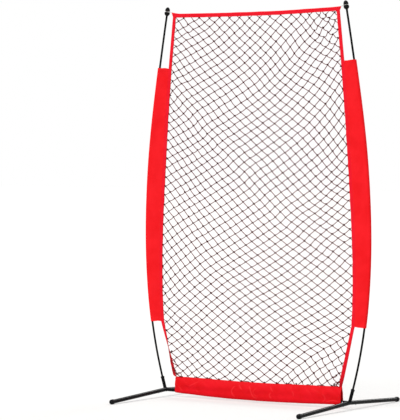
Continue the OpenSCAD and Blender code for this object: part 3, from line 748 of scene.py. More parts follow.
def placeSleeve(side):
    sign = sides[side]
    seed = 3.0 if side == "right" else 17.0

    def place(u, v):
        s = sleeveStop(side, u)
        width = sleeveWidth(u)
        outer = sleeve["outer"][side] + sleeve["ease"] * easeIn((u - 0.35) * 3)
        turnLength = outer * math.radians(sleeve["wrap"])   # way round the outside of the pole
        d = v * (2 * width + turnLength)
        if d < width:                           # back leg, from the seam to the pole
            share, face = clamp(1 - d / width), 1
        elif d > width + turnLength:            # front leg, from the pole to the seam
            share, face = clamp((d - width - turnLength) / width), -1
        else:
            a = math.radians(180 - sleeve["wrap"] / 2 + sleeve["wrap"] * (d - width) / turnLength)
            q = sleevePoint(s, outer * math.cos(a))
            return Vector((sign * q.x, outer * math.sin(a), q.y))
        reach = mix(-sleeve["past"][0], width + sleeve["past"][1], share)
        half = sleeve["seamHalf"] + (outer - sleeve["seamHalf"]) * (1 - share) ** 1.15
        free = math.sin(math.pi * share)
        ends = easeIn(u * 12) * easeIn((1 - u) * 12)
        slack = wander(s * 5.5, seed + face, share * 0.7) * sleeve["slow"]
        slack += wander(s * 16, seed + 2 * face, share * 1.5) * sleeve["quick"]
        besideSeam = math.exp(-((1 - share) * width / 0.012) ** 2)
        gather = wander(s * 55, seed - face) * sleeve["gather"] * besideSeam
        pull = sleeve["pull"] * math.sin(share * 3 + s * 90 + seed) * (1 - ends) * free
        y = half + (slack * free * (0.35 + 0.65 * ends) + gather * ends + pull)
        fromEnd = min(u, 1 - u) * sleeve["flat"][1]
        if fromEnd < sleeve["hem"]:             # the hem is folded over twice
            y += sleeve["hemThick"]
        q = sleevePoint(s, reach)
        sag = sleeve["pull"] * wander(share * 2.5, seed) * (1 - ends)
        return Vector((sign * q.x, face * max(y, sleeve["seamHalf"] * 0.8), q.y + sag))
    return place


def makeSleeves():
    made = {}
    for side in sides:
        place = placeSleeve(side)
        piece = makeSheet("sleeve_" + side, sleeve, place, mirrored=side == "left")
        settle(piece, redCloth)
        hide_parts("pole_sleeve_" + side)
        rows = []
        for v in (0.025, 0.975):                # seams along the binding
            rows.append((lambda t, w, v=v, place=place: place(t, v + w), sleeve["flat"][1]))
        for u in (0.0105, 0.9895):              # hems at both ends
            for low, high in ((0.03, 0.40), (0.60, 0.97)):
                hem = lambda t, w, u=u, low=low, high=high, place=place: place(u + w, mix(low, high, t))
                rows.append((hem, 0.06))
        made[side] = (piece, sewRows("sleeve_stitches_" + side, rows))
    return made


binding = {
    "flat": (0.045, 2.0),
    "width": 0.020,
    "turn": 0.82,           # from where on across it is rounded into the outer fold
    "half": 0.0022,         # half its thickness at the outer fold
    "innerHalf": 0.0017,    # and at its inner edge, where the twine goes in
    "below": 0.012,         # how far it goes past the bottom seam
    "short": 0.006,         # and how far it stops short of the top edge
    "pressed": {"top": 0.6, "bottom": 0.75},    # how thin it is pressed by the pieces sewn over its ends
    "gathers": (0.0009, 0.0004),                # heights of slow and quick ones
    "cloth": 0.0007,
    "stations": 460,
    "across": 20,
}


def foldAcross(v):  # v from 0 at the back edge, round the outer fold, to 1 at the front edge
    t = 2 * v - 1
    face = -1 if t > 0 else 1
    d = 1 - abs(t)          # 0 at the inner edges, 1 at the fold
    if d > binding["turn"]:
        a = (d - binding["turn"]) / (1 - binding["turn"]) * math.pi / 2
        return face, 1 - 0.1 * (1 - math.sin(a)), math.cos(a)
    return face, d / binding["turn"] * 0.9, 1.0


def placeBinding(side):
    sign = sides[side]
    seed = 41.0 if side == "right" else 67.0
    low, high = border["bottom"] - binding["below"], topAt(sign * earTip.x) - binding["short"]
    slow, quick = binding["gathers"]

    def place(u, v):
        z = mix(low, high, u)
        face, d, fat = foldAcross(v)
        gathers = wander(z * 42, seed + face) * slow + wander(z * 110, seed + 3 * face) * quick
        width = binding["width"] * (1 + 0.05 * wander(z * 20, seed + 9))
        depth = (1 - d) * width                       # from the outer fold towards the net
        half = mix(binding["innerHalf"], binding["half"], d) * fat
        if z > high - border["binding"] + 0.005:      # under the top binding
            half *= binding["pressed"]["top"]
        y = face * max(half + gathers * (1 - d) * fat, 0.0004)
        x = edgeX(side, max(z, border["bottom"])) - depth
        if z < border["bottom"] + 0.012:              # tucked into the bottom seam
            y *= binding["pressed"]["bottom"]
        return Vector(rolled(sign * x, y, z))
    return place


def makeBindings():
    made = {}
    for side in sides:
        place = placeBinding(side)
        piece = makeSheet("binding_" + side, binding, place, mirrored=side == "left")
        settle(piece, tapeCloth)
        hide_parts("side_binding_" + side)
        rows = []
        for v in (0.06, 0.94):
            rows.append((lambda t, w, v=v, place=place: place(mix(0.012, 0.988, t), v + w), 1.95))
        made[side] = (piece, sewRows("binding_stitches_" + side, rows))
    return made


topBand = {
    "flat": (0.044, 1.0866),
    "tipHeight": 0.0042,    # of the ear's very tip
    "overlap": 0.002,       # where the ear starts, inside the side binding's edge
    "gathers": (0.0008, 0.0003),    # heights of slow and quick ones
    "pull": 0.0006,         # height of the folds in its ears
    "cloth": 0.0007,
    "stations": 300,
    "across": 20,
}


def placeTop(u, v):
    x = mix(-earTip.x, earTip.x, u)
    out = abs(x)
    side = sideOf(x)
    low = topAt(x) - border["topBinding"]
    shoulder, overlap = edgeX(side, low), topBand["overlap"]
    ear = clamp((out - (earTip.x - border["earLength"])) / border["earLength"])
    top = mix(topAt(x) + 0.0006 * wander(x * 14, 5.0), earTip.y, ear ** 1.7)
    if out > shoulder - overlap:
        share = clamp((out - shoulder + overlap) / (earTip.x - shoulder + overlap))
        low = mix(low, top - topBand["tipHeight"], share ** 0.85)
    low += 0.0007 * wander(x * 22, 8.0) * (1 - ear)
    height = top - low
    face, d, fat = foldAcross(v)
    half = mix(binding["innerHalf"], binding["half"], d) * fat * mix(1.0, 0.82, ear)
    slow, quick = topBand["gathers"]
    gathers = (wander(x * 45, 11.0 + face) * slow + wander(x * 120, 15.0 + face) * quick) * (1 - d)
    pull = topBand["pull"] * math.sin(d * 9 + out * 60) * ear
    y = face * max(half + (gathers + pull) * fat, 0.0005)
    return Vector((x, y, low + d * height))


def makeTop():
    piece = makeSheet("binding_top", topBand, placeTop, mirrored=True)
    settle(piece, tapeCloth)
    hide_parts("top_binding")
    rows = [(lambda t, w, v=v: placeTop(mix(0.03, 0.97, t), v + w), 1.02) for v in (0.06, 0.94)]
    return piece, sewRows("binding_stitches_top", rows)


panel = {
    "flat": (0.206, 1.068),
    "middle": 0.013,        # in x
    "half": 0.534,
    "top": 0.112,           # height of its seam with the net
    "outer": 0.0128,        # how far it stands out round the crossbar
    "round": 0.018,         # radius that gives the length of the way under the crossbar
    "low": 0.0125,          # lowest line below the hubs' middle at the ends, and how much lower between
    "sag": 0.0135,
    "least": 0.0016,        # half its thickness at the seam
    "hem": 0.014,
    "hemThick": 0.0005,
    # how high its folds are: slow and quick ones, small ones towards the ends, and gathers at the seam
    "slow": 0.0016,
    "quick": 0.0008,
    "rumple": 0.0016,
    "gather": 0.0009,
    "cloth": 0.0008,
    "stations": 440,
    "across": 98,
    # the section of each face: height, and how far it stands out
    "front": [
        (0.0385, 0.0128), (0.047, 0.0122), (0.054, 0.0123), (0.062, 0.0127), (0.070, 0.0128),
        (0.080, 0.0117), (0.092, 0.0088), (0.103, 0.0050), (0.112, 0.0022),
    ],
    "back": [(0.0385, 0.0128), (0.055, 0.0112), (0.075, 0.0088), (0.098, 0.0050), (0.112, 0.0022)],
    # sharp creases in the front: how marked, then places in x and z, in millimetres
    "creases": [
        (1.0, [(-124, 85), (-140, 69), (-146, 54), (-140, 39), (-124, 27)]),
        (0.8, [(-97, 91), (-89, 79), (-78, 69)]),
        (1.0, [(-32, 88), (-22, 73), (-16, 52), (-8, 38), (3, 30), (19, 27)]),
        (0.5, [(15, 78), (0, 70), (-5, 57), (3, 43), (24, 35)]),
        (0.8, [(105, 96), (108, 84), (120, 71)]),
        (1.0, [(108, 61), (100, 52), (102, 41), (112, 34)]),
        (0.8, [(233, 101), (236, 89)]),
        (0.8, [(244, 78), (253, 66), (251, 52)]),
        (0.4, [(330, 92), (347, 84), (364, 68)]),
        (0.4, [(363, 99), (392, 91), (421, 78)]),
        (0.7, [(432, 77), (449, 64), (452, 47), (437, 34)]),
        (0.7, [(460, 35), (494, 45), (528, 42)]),
        (0.6, [(-424, 67), (-397, 78), (-363, 96)]),
        (0.5, [(-381, 47), (-373, 41), (-364, 37)]),
        (0.6, [(-495, 61), (-483, 49), (-475, 39)]),
    ],
    "creaseWidth": 0.0025,
    "creaseHeight": 0.0014,
    "creaseReach": 0.012,   # a point farther off than this isn't asked about
    "hollow": (0.0065, 0.004, 0.3),  # beside each crease: how far off, how wide, and its depth as a share
}


def layCreases():  # each crease as a line, with the box that it reaches
    laid, margin = [], panel["creaseReach"]
    for marked, places in panel["creases"]:
        line = roundCorners([Vector((x, z)) * 0.001 for x, z in places])
        low = min(p.x for p in line) - margin, min(p.y for p in line) - margin
        high = max(p.x for p in line) + margin, max(p.y for p in line) + margin
        laid.append((marked, line, low, high))
    return laid


creases = layCreases()


def creaseAt(x, z):  # height of the creases as a share, from 0 to 1, and of the hollows beside them
    ridge, hollow = 0.0, 0.0
    off, wide = panel["hollow"][:2]
    for marked, line, low, high in creases:
        if not (low[0] < x < high[0] and low[1] < z < high[1]):
            continue
        nearest, along = 1.0, 0.0
        for k in range(len(line) - 1):
            a, b = line[k], line[k + 1]
            run = b - a
            t = clamp(((x - a.x) * run.x + (z - a.y) * run.y) / run.length_squared)
            away = math.hypot(x - a.x - t * run.x, z - a.y - t * run.y)
            if away < nearest:
                nearest, along = away, (k + t) / (len(line) - 1)
        fade = marked * math.sin(math.pi * mix(0.08, 0.92, along)) ** 0.7
        ridge = max(ridge, fade * math.exp(-(nearest / panel["creaseWidth"]) ** 2))
        hollow = max(hollow, fade * math.exp(-((nearest - off) / wide) ** 2))
    return ridge, hollow


def placePanel(u, v):
    t = 2 * u - 1
    x = panel["middle"] + t * panel["half"]
    fade = 1 - t * t
    height = panel["top"] - pole["hubZ"]
    lowest = panel["low"] + panel["sag"] * fade - 0.0025 * t * fade + 0.0006 * wander(x * 9, 21.0)
    bottomLength = math.pi * panel["round"]
    deepShare = panel["hollow"][2]
    d = v * (2 * height + bottomLength)
    if d < height:                              # back face, from the seam down
        share, face = clamp(1 - d / height), 1
    elif d > height + bottomLength:             # front face, up to the seam
        share, face = clamp((d - height - bottomLength) / height), -1
    else:
        a = math.pi * (d - height) / bottomLength
        c = math.cos(a)
        z = pole["hubZ"] - lowest * math.sin(a) ** 0.85
        dented = 1 + 0.05 * wander(x * 12, 25.0, c) * math.sin(a)
        y = panel["outer"] * math.copysign(abs(c) ** 0.62, c) * dented
        if a > math.pi / 2:
            ridge, hollow = creaseAt(x, z)
            y -= (ridge - deepShare * hollow) * panel["creaseHeight"] * abs(c)
        return Vector((x, y, z))
    z = pole["hubZ"] + height * share
    half = between(panel["front"] if face < 0 else panel["back"], z)
    free = math.sin(math.pi * clamp(share * 0.9 + 0.02)) * math.sin(math.pi * clamp(share + 0.04)) ** 0.3
    billow = wander(x * 7, 30.0 + face, share * 1.2) * panel["slow"]
    billow += wander(x * 19, 33.0 + face, share * 2.0) * panel["quick"]
    rumpled = 0.35 + 0.65 * easeIn((abs(x - 0.02) - 0.2) / 0.22)   # more so towards its ends
    billow += wander(x * 34 + z * 18, 42.0 + face, z * 30) * panel["rumple"] * rumpled
    besideSeam = math.exp(-((1 - share) * height / 0.014) ** 2)
    gather = wander(x * 60, 36.0 + face) * panel["gather"] * besideSeam
    y = half + billow * free + gather * (1 - 0.4 * share)
    if face < 0:
        ridge, hollow = creaseAt(x, z)
        y += (ridge - deepShare * hollow) * panel["creaseHeight"]
    if min(u, 1 - u) * panel["flat"][1] < panel["hem"]:
        y += panel["hemThick"]
    z += (seamAt(x) - border["bottom"] + 0.0008 * wander(x * 11, 39.0)) * easeIn(share)
    return Vector((x, face * max(y, panel["least"]), z))


def markCreaseHighlight(piece, highlightAt):  # how much each point is painted as a crease highlight, for the cloth to read
    creaseHighlight = piece.data.attributes.new("creaseHighlight", "FLOAT", "POINT")
    for vertex in piece.data.vertices:
        creaseHighlight.data[vertex.index].value = highlightAt(vertex.co)


def makePanel():
    piece = makeSheet("bottom_panel", panel, placePanel)
    # painted highlight: the crease ridges on the front are marked for the cloth to paint them paler
    markCreaseHighlight(piece, lambda spot: creaseAt(spot.x, spot.z)[0] if spot.y < 0 else 0.0)
    settle(piece, panelClothShaded)
    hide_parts("bottom_sleeve")
    rows = []
    for v in (0.022, 0.05, 0.95, 0.978):        # two seams along each edge
        rows.append((lambda t, w, v=v: placePanel(mix(0.01, 0.99, t), v + w), 1.05))
    for u in (0.012, 0.988):                    # hems at both ends
        for low, high in ((0.03, 0.36), (0.64, 0.97)):
            rows.append((lambda t, w, u=u, low=low, high=high: placePanel(u + w, mix(low, high, t)), 0.07))
    return piece, sewRows("bottom_stitches", rows)


bindings = makeBindings()
topPiece, topStitches = makeTop()
sleeves = makeSleeves()
panelPiece, panelStitches = makePanel()
print("cloth sewn")


# Netting

net = {
    "fallStep": 0.0452,      # mesh side along the strands that run down to the right
    "riseStep": 0.0425,      # and along those that run up to the right
    "start": (0.147, 0.616),     # x and z of the knot that is counted from
    "firstFall": -40,
    "firstRise": -23,
    # i + j and j - i of the middle of the net, how many to its edges, and how far past them knots are laid
    "middle": (-5, 16),
    "halves": (17, 38),
    "beyond": (1.25, 1.2),
    # how steeply each mesh lies, in degrees, from the top left to the bottom right
    "fallTurns": [
        18, 18, 18, 18, 9, 6, 15, 15, 21, 19, 19, 20, 22, 23, 26, 32, 35, 28, 24, 31,
        26, 28, 33, 34, 31, 40, 43, 44, 43, 44, 45, 42, 43, 38, 36, 39, 38, 39, 42, 43,
        41, 45, 47, 46, 47, 49, 48, 47, 51, 48, 47, 68, 72, 74, 74, 70, 66, 62,
    ],
    # and from the bottom left to the top right
    "riseTurns": [
        81, 81, 81, 81, 71, 68, 63, 68, 66, 58, 56, 57, 54, 51, 46, 44, 44, 38, 36, 30,
        31, 30, 29, 28, 29, 29, 30, 30, 30, 29, 41, 34, 32, 26, 33, 32, 32, 37, 34, 41,
        40, 49, 53, 55, 58, 63, 65, 70, 71, 71, 73, 82, 89, 76, 110, 90, 90, 90,
    ],
    # how the whole net is pulled out of square: powers across and up, then millimetres in x and z
    "pulls": [
        (2, 0, 21, 58), (1, 1, -73, -93), (0, 2, 87, 99), (3, 0, -14, -3), (2, 1, 40, -13),
        (1, 2, 131, -108), (0, 3, 98, -78),
    ],
    # where it is snagged: place in x and z, reach, and pull in x and z, all in millimetres
    "snags": [
        (560, 1310, 120, -11, -12), (460, 1680, 120, 8, 8), (230, 1790, 120, -9, -7),
        (-320, 1100, 120, -9, -7), (-550, 1310, 120, 8, 11), (-400, 1700, 120, -10, -1),
        (510, 490, 120, 7, -5), (500, 770, 120, -2, 8), (200, 2040, 120, 7, 8),
        (-20, 910, 180, 0, 6), (370, 2040, 80, 3, -12), (-410, 1430, 120, 8, -1),
        (280, 260, 120, -7, 3), (-540, 940, 120, -4, -7), (170, 650, 180, -2, -4),
        (-130, 1200, 120, -2, -6), (520, 1800, 80, 3, 10), (-170, 410, 180, 4, 0),
        (-530, 510, 80, -9, -2), (320, 1880, 80, -5, -7), (-300, 2020, 120, 5, -4),
        (-340, 140, 80, -8, -5), (560, 1430, 80, 2, -9), (-530, 1570, 80, 2, -8),
        (380, 1120, 80, 5, -5), (370, 1410, 120, 1, 5), (530, 200, 80, -6, -7),
        (140, 1590, 120, -5, -1), (-500, 1700, 55, -9, 5), (590, 1090, 80, -5, 6),
    ],
    "twine": 0.0020,         # radius, drawn a little thick so that it shows as dark as it is
    "knot": (0.0064, 0.0046),    # half its length and half its width
    "into": 0.0165,          # how far the twine goes on into the bindings
    "lastKnot": 0.010,       # a knot farther in than this is left out
    "hitch": 0.003,          # a knot nearer the bindings than this is hitched to them, this far off
    # strands that lie along the bottom seam, from and to in x, and loops and knots drawn into the
    # lower corners, all in millimetres
    "lying": [
        (-499, -474), (-400, -373), (-317, -280), (-97, -32), (133, 155), (202, 237), (328, 344),
        (394, 442), (501, 525),
    ],
    "drawnIn": [
        (-545, -6, 251), (-527, -6, 197), (-523, -6, 147), (-513, -6, 128),
        (532, -4, 143), (502, -4, 129), (540, -4, 157), (516, -4, 178),
    ],
    "loops": [
        [(-556, -9, 221), (-542, -7, 212), (-527, -6, 197), (-518, -6, 185), (-508, -6, 174)],
        [(-544, -9, 165), (-534, -7, 162), (-527, -6, 157), (-523, -6, 147), (-515, -6, 136),
         (-513, -6, 128), (-499, -6, 120), (-481, -6, 113)],
        [(-513, -6, 128), (-502, -6, 137), (-490, -6, 138), (-483, -6, 131), (-480, -6, 115)],
        [(495, -4, 121), (502, -4, 129), (508, -4, 138), (518, -4, 142), (532, -4, 143), (543, -4, 139)],
        [(544, -4, 167), (540, -4, 157), (532, -4, 143), (522, -4, 133), (513, -4, 121)],
        [(528, -4, 187), (520, -4, 182), (516, -4, 178), (511, -4, 169), (504, -4, 166), (496, -3, 164)],
    ],
    "onSeam": 0.0022,        # how far above the seam a lying strand is
    "tipDrop": 0.005,        # how far its ends go down into it
    "mesh": 0.0437,          # length of twine from knot to knot
    "bowShare": 0.24,        # how much of its slack hangs down, and how far at most
    "mostBow": 0.0048,
    "stray": 0.0015,         # how far single strands hang off their line
    "front": 0.0012,         # and how far in front of it or behind it
    "swing": 0.7,            # how much a ruffled strand swings to both sides
    # where knots are thrown off their places: x and z, reach, and how far, in millimetres
    "ruffled": [(470, 2000, 95, 5.0), (-470, 1990, 80, 2.5), (500, 240, 90, 3.0)],
    "billow": 0.004,         # how far the net hangs out of its plane
    "billowRamp": 0.12,      # and how far in from its edges it does so in full
    "cuts": 4,               # of each strand between two knots
}


def runningSteps(turns, step, first, down):  # places along one chain of meshes, from the knot counted from
    places = [Vector((0, 0))]
    for turn in turns:
        a = math.radians(turn)
        places.append(places[-1] + step * Vector((math.cos(a), -math.sin(a) if down else math.sin(a))))
    zero = places[-first].copy()
    return [place - zero for place in places]


def ruffledAt(spot):  # how far a knot here is thrown off its place
    total = 0.0
    for x, z, reach, throw in net["ruffled"]:
        away = (spot - Vector((x, z)) * 0.001).length / (reach * 0.001)
        total += throw * 0.001 * math.exp(-away ** 4)
    return total


def layKnots():  # x and z of each knot of the lattice, by its number along both directions
    rng = random.Random(9)
    fall = runningSteps(net["fallTurns"], net["fallStep"], net["firstFall"], True)
    rise = runningSteps(net["riseTurns"], net["riseStep"], net["firstRise"], False)
    knots = {}
    for a, fallen in enumerate(fall):
        for b, risen in enumerate(rise):
            i, j = a + net["firstFall"], b + net["firstRise"]
            across = (i + j - net["middle"][0]) / net["halves"][0]
            up = (j - i - net["middle"][1]) / net["halves"][1]
            if abs(across) > net["beyond"][0] or abs(up) > net["beyond"][1]:
                continue
            place = Vector(net["start"]) + fallen + risen
            for p, q, dx, dz in net["pulls"]:
                place += across ** p * up ** q * Vector((dx, dz)) * 0.001
            tugs = Vector((0, 0))
            for x, z, reach, dx, dz in net["snags"]:
                away = (place - Vector((x, z)) * 0.001).length / (reach * 0.001)
                tugs += math.exp(-away * away) * Vector((dx, dz)) * 0.001
            turn = rng.uniform(0, 2 * math.pi)
            knots[i, j] = place + tugs + ruffledAt(place) * Vector((math.cos(turn), math.sin(turn)))
    return knots


def netDepth(x, z):  # how far the net hangs out of its plane
    inside = clamp(depthInside(x, z) / net["billowRamp"])
    return easeIn(inside) * net["billow"] * wander(x * 2.2, 50.0, z * 1.6)


def strandPoints(knots, chain, rng):  # a strand through a chain of knots, hanging a little in each gap
    points = []
    for start, stop in zip(chain, chain[1:]):
        a, b = knots[start], knots[stop]
        gap = (b - a).length
        slack = math.sqrt(max(0.0, 0.375 * (net["mesh"] ** 2 - gap * gap)))
        bow = min(net["mostBow"], net["bowShare"] * slack)
        aside = Vector((-(b - a).y, (b - a).x)).normalized()
        if aside.y > 0:
            aside = -aside
        stray, front = rng.uniform(-net["stray"], net["stray"]), rng.uniform(-net["front"], net["front"])
        swing = rng.uniform(-net["swing"], net["swing"]) * ruffledAt((a + b) / 2)
        for k in range(net["cuts"]):
            t = k / net["cuts"]
            arch = 4 * t * (1 - t)
            spot = a + (b - a) * t + aside * (arch * (bow + stray) + swing * math.sin(2 * math.pi * t))
            points.append((spot.x, netDepth(spot.x, spot.y) + arch * front, spot.y))
    last = knots[chain[-1]]
    points.append((last.x, netDepth(last.x, last.y), last.y))
    return points


def cutRuns(points):  # the parts of a strand that are in the net or its bindings, with their thickness
    runs, run = [], []
    for x, y, z in points:
        depth = depthInside(x, z)
        if depth > -net["into"]:
            if depth < 0.001:                   # held in the middle of the binding
                y = clamp(y, -0.0002, 0.0002)
            run.append((*rolled(x, y, z), mix(0.5, 1.0, easeIn((depth + 0.004) / 0.009))))
        elif run:
            runs.append(run)
            run = []
    return [run for run in runs + [run] if len(run) > 2]


def lieOnSeam(start, stop, rng):  # a strand along the bottom seam, with both ends in it
    line = []
    for k in range(8):
        x = mix(start, stop, k / 7) * 0.001
        y = rng.uniform(-0.0018, -0.0006)
        line.append(Vector((x, y, seamAt(x) + net["onSeam"] + rng.uniform(-0.0004, 0.0008))))
    for tip in (line[0], line[-1]):
        tip.z -= net["tipDrop"]
    return line


def addStrand(curve, line):  # through points of x, y, z and thickness
    spline = curve.splines.new("POLY")
    spline.points.add(len(line) - 1)
    for target, (x, y, z, thick) in zip(spline.points, line):
        target.co, target.radius = (x, y, z, 1), thick


def makeStrands(knots):
    rng = random.Random(12)
    families = {}
    for i, j in knots:
        families.setdefault(("fall", j), []).append((i, j))
        families.setdefault(("rise", i), []).append((i, j))
    curve = bpy.data.curves.new("net_twine", "CURVE")
    curve.dimensions = "3D"
    for key in sorted(families):
        chain = sorted(families[key])
        if len(chain) < 2:
            continue
        for run in cutRuns(strandPoints(knots, chain, rng)):
            addStrand(curve, run)
    loose = [roundCorners([Vector(spot) * 0.001 for spot in loop]) for loop in net["loops"]]
    loose += [lieOnSeam(start, stop, rng) for start, stop in net["lying"]]
    for line in loose:
        addStrand(curve, [(*spot, 1.0) for spot in line])
    curve.bevel_depth = net["twine"]
    curve.bevel_resolution = 1
    curve.use_fill_caps = True
    activate(link("net_twine", curve))
    bpy.ops.object.convert(target="MESH")
    piece = bpy.context.object
    smooth(piece, 80)
    return settle(piece, netTwine)


def makeKnotShape():  # a sheet bend drawn tight: two lobes of twine round a waist, 80 faces
    deselectAll()
    bpy.ops.mesh.primitive_ico_sphere_add(subdivisions=2, radius=1.0)
    model = bpy.context.object
    long, wide = net["knot"]
    for vertex in model.data.vertices:
        x, y, z = vertex.co
        waist = 1 - 0.28 * math.exp(-(x / 0.28) ** 2)
        wound = 1 + 0.12 * math.sin(3 * math.atan2(z, y) + 4 * x)
        vertex.co = (x * long, y * waist * wound * wide, z * waist * wound * wide)
    return takeShape(model)


def makeKnots(knots):  # gives how many there are
    shape, faces = makeKnotShape()
    rng = random.Random(5)
    hitch = net["hitch"]
    places = []
    for (i, j), spot in sorted(knots.items()):
        depth = depthInside(spot.x, spot.y)
        if depth < -net["lastKnot"]:
            continue
        onward = knots.get((i + 1, j))
        along = (onward - spot) if onward else (spot - knots.get((i - 1, j), spot + Vector((-1, 1))))
        turn = Matrix.Rotation(math.atan2(-along.y, along.x) + rng.uniform(-0.2, 0.2), 4, "Y")
        roll = Matrix.Rotation(rng.uniform(0, math.pi), 4, "X")
        size = Matrix.Scale(rng.uniform(0.88, 1.12), 4)
        x, z = spot
        if depth < hitch:                       # hitched to the edge of the binding
            side = sideOf(x)
            if between(border["rolls"][side], z) > 40 and z > seamAt(x) + 0.01:
                continue                        # rolled in with it
            x = math.copysign(min(abs(x), edgeX(side, z) - border["binding"] - hitch), x)
            z = clamp(z, seamAt(x) + hitch, topAt(x) - border["topBinding"] - hitch)
        places.append(Matrix.Translation(rolled(x, netDepth(x, z), z)) @ turn @ roll @ size)
    for spot in net["drawnIn"]:
        turn = Matrix.Rotation(rng.uniform(0.2, 1.2), 4, "Y")
        places.append(Matrix.Translation(Vector(spot) * 0.001) @ turn)
    settle(joinCopies("net_knots", shape, faces, places), knotTwineShaded)
    return len(places)


knots = layKnots()
strands = makeStrands(knots)
knotCount = makeKnots(knots)
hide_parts("netting")
print("netting laid:", knotCount, "knots,", len(strands.data.polygons), "faces of twine")


# Round cords

def roundCord(name, points, radii, material, closed=False, around=12):  # a tube through points
    count = len(points)
    steps = count if closed else count - 1
    length = sum((b - a).length for a, b in zip(points, points[1:]))
    piece = makeGrid(name, steps, around)
    mesh = piece.data
    spots = [(round(vertex.co.x * steps), vertex.co.y) for vertex in mesh.vertices]
    spreadUv(mesh, length, 2 * math.pi * radii[0])
    side = None
    frames = []
    for k, point in enumerate(points):
        before = points[k - 1] if k or closed else point
        after = points[(k + 1) % count] if k + 1 < count or closed else point
        along = (after - before).normalized()
        side = along.orthogonal() if side is None else side - along * side.dot(along)
        side = side.normalized()
        frames.append((point, side.copy(), along.cross(side), radii[k]))
    for vertex, (k, v) in zip(mesh.vertices, spots):
        point, one, two, radius = frames[k % count]
        a = 2 * math.pi * v
        vertex.co = point + (one * math.cos(a) + two * math.sin(a)) * radius
    mesh.update()
    activate(piece)
    bpy.ops.object.mode_set(mode="EDIT")
    bpy.ops.mesh.select_all(action="SELECT")
    bpy.ops.mesh.remove_doubles(threshold=0.000001)     # closes the seam along the tube
    if not closed:
        bpy.ops.mesh.select_all(action="DESELECT")
        bpy.ops.mesh.select_non_manifold()
        bpy.ops.mesh.edge_face_add()
    bpy.ops.mesh.select_all(action="SELECT")
    bpy.ops.mesh.normals_make_consistent(inside=False)
    bpy.ops.object.mode_set(mode="OBJECT")
    smooth(piece, 60)
    return settle(piece, material)


elastic = {
    "radius": 0.0014,
    "wrap": 0.01005,        # radius of its turn round the ball cap's groove
    "eye": 0.0022,          # and of its turn at the net's corner
    "reach": 0.0335,        # from the groove's middle to an eye's radius past its far end
    "wrapCuts": 32,
    "legCuts": 8,
    "eyeCuts": 8,
}


def makeCornerElastic(side):
    sign = sides[side]
    top, lean = poleAt(pole["length"]), leanAt(pole["length"])
    out = Vector((-math.cos(lean), 0, math.sin(lean)))
    wrap, eye, reach = elastic["wrap"], elastic["eye"], elastic["reach"]
    touch = math.acos((wrap - eye) / (reach - eye))     # where it leaves the groove
    wrapCuts, legCuts, eyeCuts = elastic["wrapCuts"], elastic["legCuts"], elastic["eyeCuts"]
    flatPath = []                                       # away from the cap, and to the front
    for k in range(wrapCuts + 1):
        a = touch + (2 * math.pi - 2 * touch) * k / wrapCuts
        flatPath.append((wrap * math.cos(a), wrap * math.sin(a)))
    last = flatPath[-1]
    eyeFrom = (reach - 2 * eye + eye * math.cos(touch), -eye * math.sin(touch))
    leg = [[mix(a, b, k / legCuts) for a, b in zip(last, eyeFrom)] for k in range(1, legCuts)]
    flatPath += leg
    for k in range(eyeCuts + 1):
        a = -touch + 2 * touch * k / eyeCuts
        flatPath.append((reach - 2 * eye + eye * math.cos(a), eye * math.sin(a)))
    flatPath += [(u, -y) for u, y in reversed(leg)]
    points = []
    for u, y in flatPath:
        spot = Vector((top.x, 0, top.y)) + out * u
        points.append(Vector((sign * spot.x, y, spot.z)))
    radii = [elastic["radius"]] * len(points)
    piece = roundCord("corner_elastic_" + side, points, radii, elasticBraid, closed=True)
    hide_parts("elastic_loop_" + side)


shockCord = {
    "radius": 0.002,
    "knot": 0.0042,         # radius of the knot at each end
    "small": 0.95,          # how much smaller it is drawn than that
    "least": 0.0006,        # radius of the cord's very tip
    "seat": 0.0029,         # from the rod's end to the knot's middle
    "inside": 0.004,        # where the plain cord starts inside the rod
    "knotCuts": 12,
    "cuts": 90,
}


def knotAt(t):  # how far out from the knot's middle, and its radius: drawn up, with two ridges
    ridged = 1 - 0.1 * math.cos(4 * math.pi * t)
    radius = shockCord["knot"] * shockCord["small"] * math.sin(math.pi * mix(0.05, 0.85, t)) * ridged
    return shockCord["knot"] * math.cos(math.pi * t) * shockCord["small"], max(shockCord["least"], radius)


def makeShockCord(side):
    sign = sides[side]
    ends = [knotAt(k / shockCord["knotCuts"]) for k in range(shockCord["knotCuts"] + 1)]
    low, high = pole["rodFrom"] - shockCord["seat"], pole["rodTo"] + shockCord["seat"]
    stops = [low - out for out, radius in ends]
    radii = [radius for out, radius in ends]
    first, last = pole["rodFrom"] + shockCord["inside"], pole["rodTo"] - shockCord["inside"]
    for k in range(1, shockCord["cuts"]):
        stops.append(mix(first, last, k / shockCord["cuts"]))
        radii.append(shockCord["radius"])
    stops += [high + out for out, radius in reversed(ends)]
    radii += [radius for out, radius in reversed(ends)]
    points = []
    for s in stops:
        spot = poleAt(s)
        points.append(Vector((sign * spot.x, 0, spot.y)))
    piece = roundCord("shock_cord_braid_" + side, points, radii, elasticBraid, around=10)
    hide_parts("shock_cord_" + side)


for side in sides:
    makeCornerElastic(side)
    makeShockCord(side)
print("cords made")


# Welds on the hubs

weld = {
    "radius": 0.0016,       # of the bead
    "ripple": 0.00035,      # height of its ripples, and how many there are round a tube
    "ripples": 22,
    "cuts": 72,
    "proud": 0.0002,        # how far its middle is off the tubes' skins
    # radii of the tubes that meet
    "socket": 0.009,
    "foot": 0.011,
    "bar": 0.0095,
}


